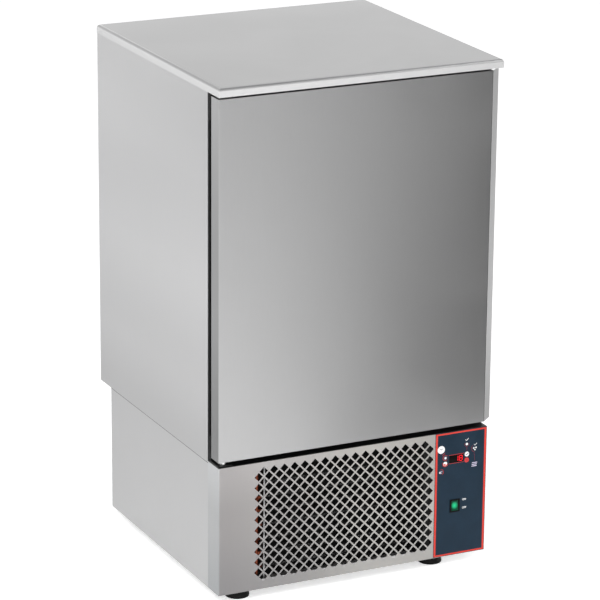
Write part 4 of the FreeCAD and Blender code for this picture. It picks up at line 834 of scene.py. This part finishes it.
def bar_points(start, end, width):
    """Outline of a straight line of some width."""
    (x1, z1), (x2, z2) = start, end
    length = math.hypot(x2 - x1, z2 - z1)
    u, v = -(z2 - z1) / length * width / 2, (x2 - x1) / length * width / 2
    return [(x1 + u, z1 + v), (x2 + u, z2 + v), (x2 - u, z2 - v), (x1 - u, z1 - v)]


def printed(name, outlines, front, material, body="cabinet"):
    """A group of printed marks, from outlines of (x, z) points, in one ink at one depth."""
    shape = bmesh.new()
    for points in outlines:
        face = shape.faces.new([shape.verts.new((x, front, z)) for x, z in points])
        raised(shape, [face], (0, -INK_SKIN, 0))
    outward(shape)
    finished(shape, name, material, body)


film_front = FILM_LOW.y
BORDER_INSET = 0.0012
BORDER_WIDTH = 0.0052
BORDER_HEIGHT = 0.0040
left_x, right_x = FILM_LOW.x + BORDER_INSET, FILM_HIGH.x - BORDER_INSET
low_z, high_z = FILM_LOW.z + BORDER_INSET, FILM_HIGH.z - BORDER_INSET
border = [bar_points((left_x, z), (right_x, z), BORDER_HEIGHT)
          for z in (low_z + BORDER_HEIGHT / 2, high_z - BORDER_HEIGHT / 2)]
border += [bar_points((x, low_z + BORDER_HEIGHT), (x, high_z - BORDER_HEIGHT), BORDER_WIDTH)
           for x in (left_x + BORDER_WIDTH / 2, right_x - BORDER_WIDTH / 2)]
printed("fascia_border", border, film_front, RED_INK)

timer, settle, lower, sound, chill, freeze = (
    middle_of(f"key_{mark}").xz for mark in ("timer", "set", "down", "sound", "chill", "freeze"))
window_low, window_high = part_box("display_window")
printed("key_rings", [
    arc_points(*settle, 0.0070, 0.0009, math.radians(40), math.radians(280)),
    arc_points(*lower, 0.0071, 0.0012, math.radians(150), math.radians(200)),
    arc_points(*sound, 0.0074, 0.0008, math.radians(-60), math.radians(150)),
    arc_points(timer[0], timer[1] - 0.002, 0.0130, 0.0009, math.radians(-75), math.radians(40)),
], film_front, RED_INK)
WINDOW_GAP = 0.0012
printed("window_outline", [
    bar_points((window_low.x - WINDOW_GAP, z), (window_high.x + WINDOW_GAP, z), 0.0008)
    for z in (window_low.z - WINDOW_GAP, window_high.z + WINDOW_GAP)
], film_front, RED_INK)
SENSOR_MARK = (chill[0] - 0.0006, chill[1] + 0.0265)
FLAKE_MARK = (0.3245, 0.3045)
BARS_MARK = (0.3235, 0.2615)
printed("cycle_arcs", [
    arc_points(*SENSOR_MARK, 0.0062, 0.0007, math.radians(150), math.radians(240)),
    arc_points(*FLAKE_MARK, 0.0098, 0.0007, math.radians(130), math.radians(130)),
    bar_points((SENSOR_MARK[0], SENSOR_MARK[1] - 0.0068), (chill[0], chill[1] + 0.0080), 0.0006),
    bar_points((FLAKE_MARK[0] - 0.002, FLAKE_MARK[1] - 0.010),
               (BARS_MARK[0] + 0.001, BARS_MARK[1] + 0.009), 0.0005),
], film_front, DULL_RED_INK)
TICK_TURNS = ((-0.0042, 0.0006), (-0.0012, -0.0022), (0.0046, 0.0034))


def tick_outlines(x, z, size=1.0, width=0.0013):
    """A tick of two strokes."""
    spots = [(x + u * size, z + v * size) for u, v in TICK_TURNS]
    return [bar_points(spots[0], spots[1], width), bar_points(spots[1], spots[2], width)]


printed("cycle_marks", [
    disc_points(*SENSOR_MARK, 0.0034, 20),
    disc_points(FLAKE_MARK[0] - 0.0034, FLAKE_MARK[1], 0.0022, 14),
    disc_points(FLAKE_MARK[0] + 0.0030, FLAKE_MARK[1] + 0.0008, 0.0022, 14),
    disc_points(FLAKE_MARK[0], FLAKE_MARK[1] - 0.0048, 0.0019, 14),
] + tick_outlines(SENSOR_MARK[0], SENSOR_MARK[1] + 0.0115)
    + tick_outlines(FLAKE_MARK[0] + 0.0010, FLAKE_MARK[1] + 0.0092, 0.9), film_front, WHITE_INK)
printed("level_bars", [
    bar_points((BARS_MARK[0] - 0.0072 + shift, BARS_MARK[1] + drop),
               (BARS_MARK[0] + 0.0072 + shift, BARS_MARK[1] + drop), 0.0021)
    for drop, shift in ((0.0044, 0.0008), (0.0, 0.0), (-0.0044, -0.0004))
], film_front, LILAC_INK)

# ---------------- display window
# A smoked acrylic window sits flush in the film, over a two-figure red display. The lit strokes
# show on its face.
SMOKED, smoke_tree, smoke_shader = blank_material(
    "smoked_window", Roughness=0.12, Specular_IOR_Level=0.12)
smoke = blended(smoke_tree, coarse_noise(smoke_tree, 60.0), grey((10, 3, 3)), grey((14, 5, 4)))
feed(smoke_shader, "Base Color", smoke)
softened("display_window", SMOKED, edge=0.0002)
FIGURE_HEIGHT = 0.0134
FIGURE_WIDTH = 0.0080
STROKE = 0.0019
SEGMENTS = {"1": "bc", "8": "abcdefg"}


def figure_outlines(figure, x, z):
    """The lit strokes of one figure of a seven-stroke display."""
    w, h, gap = FIGURE_WIDTH / 2, FIGURE_HEIGHT / 2, STROKE * 0.35
    spots = {"a": ((-w + gap, h), (w - gap, h)), "g": ((-w + gap, 0), (w - gap, 0)),
             "d": ((-w + gap, -h), (w - gap, -h)), "b": ((w, gap), (w, h - gap)),
             "c": ((w, -h + gap), (w, -gap)), "f": ((-w, gap), (-w, h - gap)),
             "e": ((-w, -h + gap), (-w, -gap))}
    return [bar_points((x + s[0], z + s[1]), (x + e[0], z + e[1]), STROKE)
            for s, e in (spots[k] for k in SEGMENTS[figure])]


figure_z = middle_of("display_window").z
printed("display_figures",
        figure_outlines("1", window_high.x - 0.0195, figure_z)
        + figure_outlines("8", window_high.x - 0.0075, figure_z),
        window_low.y, LIT_RED)

# ---------------- keys
# Six moulded caps in the film's openings: three white, one red and two dark, each with a mark
# printed on it. Each rides on its own spring.
KEY_WHITE = moulded("key_white", grey(232), grey(246), 0.3, relief=0.00002,
                    Specular_IOR_Level=0.3)
KEY_RED = moulded("key_red", grey((200, 48, 48)), grey((216, 60, 56)), 0.3, relief=0.00002)
KEY_DARK = moulded("key_dark", grey((40, 56, 72)), grey((46, 62, 78)), 0.35, relief=0.00002)
KEY_FINISHES = {"key_timer": KEY_WHITE, "key_set": KEY_DARK, "key_down": KEY_WHITE,
                "key_sound": KEY_DARK, "key_chill": KEY_WHITE, "key_freeze": KEY_RED}
key_front = {}
for node, finish in KEY_FINISHES.items():
    softened(node, finish, edge=0.00025,
             crease=50)
    key_front[node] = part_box(node)[0].y
for node, mark, marks in (
    ("key_timer", DARK_INK, [bar_points(timer, (timer[0] + 0.0036, timer[1] + 0.0030), 0.0011),
                             bar_points(timer, (timer[0] - 0.0030, timer[1] + 0.0026), 0.0013)]),
    ("key_set", WHITE_INK, [disc_points(*settle, 0.0031, 24)]),
    ("key_down", RED_INK, [disc_points(lower[0] - 0.0015, lower[1] - 0.0014, 0.0024, 20),
                           arc_points(*lower, 0.0044, 0.0011, math.radians(180), math.pi)]),
    ("key_sound", WHITE_INK, [disc_points(sound[0] - 0.0022, sound[1] - 0.0004, 0.0026, 20)]),
    ("key_chill", DARK_INK, tick_outlines(*chill, 0.85, 0.0014)),
    ("key_freeze", DULL_RED_INK, [bar_points((freeze[0] - 0.0034, freeze[1] + d),
                                             (freeze[0] + 0.0034, freeze[1] + d), 0.0009)
                                  for d in (-0.0022, 0.0, 0.0022)]),
):
    printed(f"{node}_mark", marks, key_front[node], mark, node)
printed("sound_ring", [arc_points(sound[0] + 0.0012, sound[1], 0.0027, 0.0009, 0.2,
                                  math.radians(300))],
        key_front["key_sound"], LILAC_INK, "key_sound")

# ---------------- control board and box
# The circuit board with its relays and transformer sits on four pillars behind the film, in a
# galvanised box that keeps the wet and the wiring apart.
BOARD_GREEN = moulded("board_green", grey((22, 74, 44)), grey((30, 96, 56)), 0.4,
                      stipple=500.0)
softened("control_board", BOARD_GREEN, edge=0.0003)
softened("control_box", ZINC, fold=0.002, edge=0.0002)

# ---------------- mains rocker
# A green rocker in a black bezel that clips into the film and panel. The printed words beside
# it say which way is on.
SWITCH_BLACK = moulded("switch_black", grey(3), grey(6), 0.42, relief=0.00003,
                       Specular_IOR_Level=0.15)
softened("rocker_housing", SWITCH_BLACK, edge=0.0005)
ROCKER_GREEN, rocker_tree, rocker_shader = blank_material(
    "rocker_green", Roughness=0.3, Specular_IOR_Level=0.25, Emission_Strength=0.2)
GLOW_SHIFT = 0.001
GLOW_FULL = 0.001                # how far from its lamp the rocker is fully lit, and lit at all
GLOW_END = 0.010
rocker_middle = middle_of("rocker_switch")
glow_middle = (rocker_middle.x - GLOW_SHIFT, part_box("rocker_switch")[0].y,
               rocker_middle.z + GLOW_SHIFT)
# The green, in base colour and glow alike, is brightest near a point just off its middle and
# darkens towards its edges: partly the lamp inside, partly painted shade at its edges.
glow_distance = add_node(rocker_tree, "VectorMath", {
    0: own_place(rocker_tree), 1: glow_middle}, operation="DISTANCE")
glow_and_painted_shade = add_node(rocker_tree, "MapRange", {
    "Value": glow_distance.outputs["Value"], "From Min": GLOW_FULL, "From Max": GLOW_END,
    "To Min": 1.0, "To Max": 0.0})
green = blended(rocker_tree, glow_and_painted_shade.outputs["Result"], grey((0, 62, 42)),
                grey((30, 200, 134)))
feed(rocker_shader, "Base Color", green)
feed(rocker_shader, "Emission Color", green)
softened("rocker_switch", ROCKER_GREEN, edge=0.0007, segments=3)


def lettered(name, text, height, x, z, front, material):
    """A printed word, its left end at a place on the film."""
    curve = bpy.data.curves.new(name, "FONT")
    curve.body = text
    curve.size = height
    curve.extrude = INK_SKIN / 2
    curve.offset = height * 0.03
    curve.align_y = "CENTER"
    writer = bpy.data.objects.new(name, curve)
    bpy.context.scene.collection.objects.link(writer)
    bpy.context.view_layer.update()
    mesh = bpy.data.meshes.new_from_object(writer.evaluated_get(
        bpy.context.evaluated_depsgraph_get()))
    bpy.data.objects.remove(writer)
    mesh.transform(Matrix.Translation((x, front - INK_SKIN / 2, z))
                   @ Matrix.Rotation(math.pi / 2, 4, "X"))
    shape = bmesh.new()
    shape.from_mesh(mesh)
    bpy.data.meshes.remove(mesh)
    finished(shape, name, material, "cabinet")


WORD_HEIGHT = 0.0066
WORD_X = 0.2920
for word, word_z in (("ON", 0.1725), ("OFF", 0.1505)):
    lettered(f"switch_word_{word.lower()}", word, WORD_HEIGHT, WORD_X, word_z, film_front,
             WHITE_INK)

# ---------------- cable gland and drain
# A black nylon gland waits for the mains cable, and a grey plastic spigot lets the melt water
# out. Both leave through the base's rear panel.
GLAND_NYLON = moulded("gland_nylon", grey(24), grey(34), 0.45)
DRAIN_PLASTIC = moulded("drain_plastic", grey(150), grey(168), 0.5)
softened("cable_gland", GLAND_NYLON, edge=0.0006, crease=30)
softened("drain_pipe", DRAIN_PLASTIC, edge=0.0004, crease=35)
NUT_FLATS = 6
NUT_REACH = 0.0165
NUT_INSIDE = 0.0143
NUT_HEIGHT = 0.0055
NUT_GAP = 0.0002
nut_place = middle_of("cable_gland")
nut_place.y = panel_high.y + NUT_GAP
shape = bmesh.new()
for radius in (NUT_REACH, NUT_INSIDE):
    bmesh.ops.create_circle(shape, segments=NUT_FLATS, radius=radius)
bmesh.ops.bridge_loops(shape, edges=shape.edges[:])
raised(shape, shape.faces[:], (0, 0, NUT_HEIGHT))
bmesh.ops.transform(shape, matrix=Matrix.Translation(nut_place)
                    @ Matrix.Rotation(-math.pi / 2, 4, "X"), verts=shape.verts)
outward(shape)
finished(shape, "gland_nut", GLAND_NYLON, "cabinet")

# ---------------- insulated shell
# A galvanised floor, blown polyurethane foam and a stainless chamber whose bends are drawn
# smooth, so that it wipes clean.
FOAM = moulded("blown_foam", grey((206, 190, 140)), grey((222, 206, 160)), 0.85,
               stipple=260.0, relief=0.0006)
LINER_STEEL = stainless("liner_steel", 206, 0.30, UPRIGHT_GRAIN, contrast=0.03)
softened("upper_floor_panel", ZINC, edge=0.0002)
painted_node("cabinet_insulation", FOAM)
softened("chamber_liner", LINER_STEEL, fold=0.003, edge=0.0002)

# ---------------- tray racks
# Polished stainless posts against the liner's walls carry ten folded runners a side, for trays
# and pans.
RACK_STEEL = stainless("rack_steel", 214, 0.20, (14.0, 0.35, 14.0), contrast=0.02)
for side in ("left", "right"):
    softened(f"tray_rack_{side}", RACK_STEEL, fold=0.002, edge=0.0003,
             wall=0.0015)

# ---------------- evaporator side
# A stainless panel with two fans and their wire guards hides the finned coil, which drips into
# a shallow tray.
PLATED_WIRE = stainless("plated_wire", 222, 0.14, CROSS_GRAIN, contrast=0.01)
softened("fan_panel", LINER_STEEL, fold=0.002, edge=0.0002)
softened("fan_guards", PLATED_WIRE, crease=40)
softened("evaporator_fan_motors", MOTOR_ENAMEL, edge=0.0005, crease=30)
for place in ("lower", "upper"):
    softened(f"evaporator_fan_{place}", FAN_PLASTIC, edge=0.0005, crease=30)
softened("drip_tray", LINER_STEEL, fold=0.0025, edge=0.0002, wall=0.0012)
COIL_ALUMINIUM = stainless("coil_aluminium", 200, 0.38, UPRIGHT_GRAIN, contrast=0.04)
EVAPORATOR_PITCH = 0.0055
EVAPORATOR_PLATE = 0.002
EVAPORATOR_FRONT = 0.006         # how far the fins stand back from their plates' edges
EVAPORATOR_BACK = 0.010
EVAPORATOR_EDGE = 0.008
EVAPORATOR_TUBE = 0.005
EVAPORATOR_DEPTHS = (0.014, 0.039, 0.064)
EVAPORATOR_MARGIN = 0.03
coil_low, coil_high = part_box("evaporator_coil")
fins_low = coil_low + Vector((EVAPORATOR_PLATE, EVAPORATOR_FRONT, EVAPORATOR_EDGE))
fins_high = coil_high - Vector((EVAPORATOR_PLATE, EVAPORATOR_BACK, EVAPORATOR_EDGE))
shape = bmesh.new()
add_fins(shape, fins_low, fins_high, EVAPORATOR_PITCH)
for plate_x in (coil_low.x, coil_high.x - EVAPORATOR_PLATE):
    add_box(shape, (plate_x, coil_low.y, coil_low.z),
            (plate_x + EVAPORATOR_PLATE, coil_high.y, coil_high.z))
finished(shape, "evaporator_fins", COIL_ALUMINIUM, "cabinet",
         ["evaporator_coil"])
row_count = int((fins_high.z - fins_low.z - EVAPORATOR_MARGIN) / TUBE_PITCH)
shape = bmesh.new()
add_tubes(shape, coil_low.x, coil_high.x, [fins_low.y + depth for depth in EVAPORATOR_DEPTHS],
          [fins_low.z + TUBE_FIRST + row * TUBE_PITCH for row in range(row_count)],
          EVAPORATOR_TUBE, 12)
finished(shape, "evaporator_tubes", COPPER, "cabinet")

# ---------------- upper casing
# Folded satin stainless side panels, upright in their grain, hang over the base like a skirt. A
# galvanised panel closes the back, held by aluminium rivets.
SIDE_STEEL = stainless("side_steel", 207, 0.34, UPRIGHT_GRAIN, contrast=0.03)
for side in ("left", "right"):
    softened(f"upper_side_panel_{side}", SIDE_STEEL, fold=0.002,
             edge=0.0002)
# Painted light and shade: the side panels are darker low down, brightest a little above the
# middle and darker again at the top.
with_painted_shading(SIDE_STEEL, [(0.0, 0.85), (0.22, 0.99), (0.5, 1.14), (0.75, 1.1), (1.0, 0.97)],
           "Z", "upper_side_panel_left")
softened("upper_rear_panel", ZINC, edge=0.0002)
# Painted shadow: a grey bead under the side panel's lower edge stands in for the shadow line
# where the skirt hangs over the base.
SKIRT_SHADOW_GREY = moulded("skirt_shadow_grey", grey(70), grey(84), 0.6, stipple=200.0)
SHADOW_LINE_HEIGHT = 0.0014
SHADOW_LINE_GAP = 0.0001             # it stays this far inside the skirt's face
skirt_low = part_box("upper_side_panel_left")[0]
base_low, base_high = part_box("base_side_left")
shape = bmesh.new()
add_box(shape, (skirt_low.x + SHADOW_LINE_GAP, skirt_low.y, skirt_low.z - SHADOW_LINE_HEIGHT),
        (base_low.x, base_high.y, skirt_low.z))
finished(shape, "skirt_shadow_line", SKIRT_SHADOW_GREY, "cabinet")
RIVET = stainless("rivet_aluminium", 212, 0.3, CROSS_GRAIN)
softened("panel_rivets", RIVET, edge=0.0003, crease=40)

# ---------------- front frame and hinges
# A black moulded frame lines the chamber's mouth. Two dark plated brackets carry bright turned
# pins, and the door turns on them in grey nylon bushes.
FRAME_PLASTIC = moulded("frame_plastic", grey(6), grey(10), 0.65, stipple=700.0,
                        Specular_IOR_Level=0.15)
softened("front_frame", FRAME_PLASTIC, edge=0.0008)
BRACKET_PLATING = moulded("bracket_plating", grey(34), grey(48), 0.42, stipple=300.0,
                          wear=grey(105), Metallic=0.8)
PIN_STEEL = stainless("pin_steel", 222, 0.2, CROSS_GRAIN)
BUSH_NYLON = moulded("bush_nylon", grey(120), grey(136), 0.45)
for place in ("lower", "upper"):
    softened(f"hinge_bracket_{place}", BRACKET_PLATING, fold=0.0,
             edge=0.0006)
softened("hinge_pins", PIN_STEEL, edge=0.0004, crease=30)
softened("hinge_bushes", BUSH_NYLON, edge=0.0003, crease=30)

# ---------------- door
# A foamed door: satin stainless skin outside, a drawn liner with a raised plug inside, and a
# slanted stainless profile down the free edge to pull it by. A black gasket runs round its back.
DOOR_STEEL = stainless("door_steel", 196, 0.33, UPRIGHT_GRAIN, contrast=0.03)
GRIP_STEEL = stainless("grip_steel", 186, 0.3, UPRIGHT_GRAIN, contrast=0.03)
GASKET_RUBBER = moulded("gasket_rubber", grey(12), grey(20), 0.7, stipple=500.0)
# Painted shade: the grip profile darkens towards its foot.
with_painted_shading(GRIP_STEEL, [(0.0, 0.66), (0.3, 0.95), (1.0, 1.0)], "Z", "door_grip_profile")
# Painted shade: the door skin's left face darkens strongly towards the bottom.
with_painted_shading(DOOR_STEEL, [(0.0, 0.44), (0.5, 0.72), (1.0, 0.9)], "Z", "door_outer_skin",
           facing_mask(DOOR_STEEL.node_tree, "X", -0.8, -0.95))
softened("door_outer_skin", DOOR_STEEL, fold=0.0018, edge=0.00025)
softened("door_grip_profile", GRIP_STEEL, fold=0.0, edge=0.0003)
softened("door_inner_liner", LINER_STEEL, fold=0.003, edge=0.0002)
painted_node("door_insulation", FOAM)
skin_low, skin_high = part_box("door_outer_skin")
grip_low, grip_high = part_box("door_grip_profile")
GRIP_SHEET = 0.0015
CAP_HEIGHT = 0.002
CAP_GAP = 0.0005
CAP_FRONT = 0.027
CAP_BACK = 0.001
CAP_PLASTIC = moulded("cap_plastic", grey(8), grey(14), 0.6, Specular_IOR_Level=0.2)
shape = bmesh.new()
for cap_low in (grip_low.z + CAP_GAP, grip_high.z - CAP_GAP - CAP_HEIGHT):
    add_box(shape, (skin_high.x + GRIP_SHEET, grip_low.y + CAP_FRONT, cap_low),
            (grip_high.x - GRIP_SHEET, grip_high.y - CAP_BACK, cap_low + CAP_HEIGHT))
finished(shape, "door_grip_caps", CAP_PLASTIC, "door")
JOINT_WIDTH = 0.0009
JOINT_PROUD = 0.00012
JOINT_GAP = 0.0004
shape = bmesh.new()
add_box(shape, (skin_high.x - JOINT_WIDTH, skin_low.y - JOINT_PROUD, skin_low.z + JOINT_GAP),
        (skin_high.x, skin_low.y, skin_high.z - JOINT_GAP))
finished(shape, "door_grip_joint", CAP_PLASTIC, "door")
softened("door_gasket", GASKET_RUBBER, edge=0.0004)

# ---------------- worktop
# A pressed stainless top, rounded over all four sides, glued over a moisture-proof board that
# stiffens it. Its colour carries painted light and shade: a pale band where it turns down,
# darker towards the front, and dark and bright bands on the rounded nose.
WORKTOP_STEEL = stainless("worktop_steel", 197, 0.33, CROSS_GRAIN, contrast=0.03)
BOARD_CORE = moulded("board_core", grey(22), grey(34), 0.7, stipple=180.0, relief=0.0003)
TOP_NOSE = 0.0095
TOP_NOSE_STEPS = 8
TOP_SKIN = 0.0012
top_tree = WORKTOP_STEEL.node_tree
top_shader = top_tree.nodes["Principled BSDF"]
# Painted highlight: faces that turn down from the top get a pale, less metallic base colour, as
# if their bend caught the light.
bend_highlight_mask = facing_mask(top_tree, "Z", 0.45, 0.12)
# Painted shade: the top darkens towards its front edge.
with_painted_shading(WORKTOP_STEEL, [(0.0, 0.9), (0.75, 0.93), (1.0, 1.0)], "Y", "worktop")
# Painted light and shade on the rounded nose: faces tilted half up are darker, faces nearly flat
# carry a bright band.
with_painted_shading(WORKTOP_STEEL, [(0.0, 1.0), (0.5, 0.86), (0.7, 0.82), (0.9, 1.25), (0.98, 1.45),
                           (1.0, 1.0)], "Z")
top_steel = top_shader.inputs["Base Color"].links[0].from_socket
feed(top_shader, "Base Color", blended(top_tree, bend_highlight_mask, top_steel, grey(206)))
feed(top_shader, "Metallic", ranged(top_tree, bend_highlight_mask, 1.0, 0.3))
top_low, top_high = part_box("worktop")
shape = bmesh.new()
add_box(shape, top_low, top_high)
bottom = [f for f in shape.faces if f.normal.z < -0.9]
bmesh.ops.delete(shape, geom=bottom, context="FACES")
upper = [e for e in shape.edges if all(v.co.z > top_high.z - 0.001 for v in e.verts)]
bevelled(shape, upper, TOP_NOSE, TOP_NOSE_STEPS)
outward(shape)
bmesh.ops.solidify(shape, geom=shape.faces[:], thickness=TOP_SKIN)
outward(shape)
finished(shape, "worktop_pressing", WORKTOP_STEEL, "cabinet", ["worktop"])
painted_node("worktop_board", BOARD_CORE)
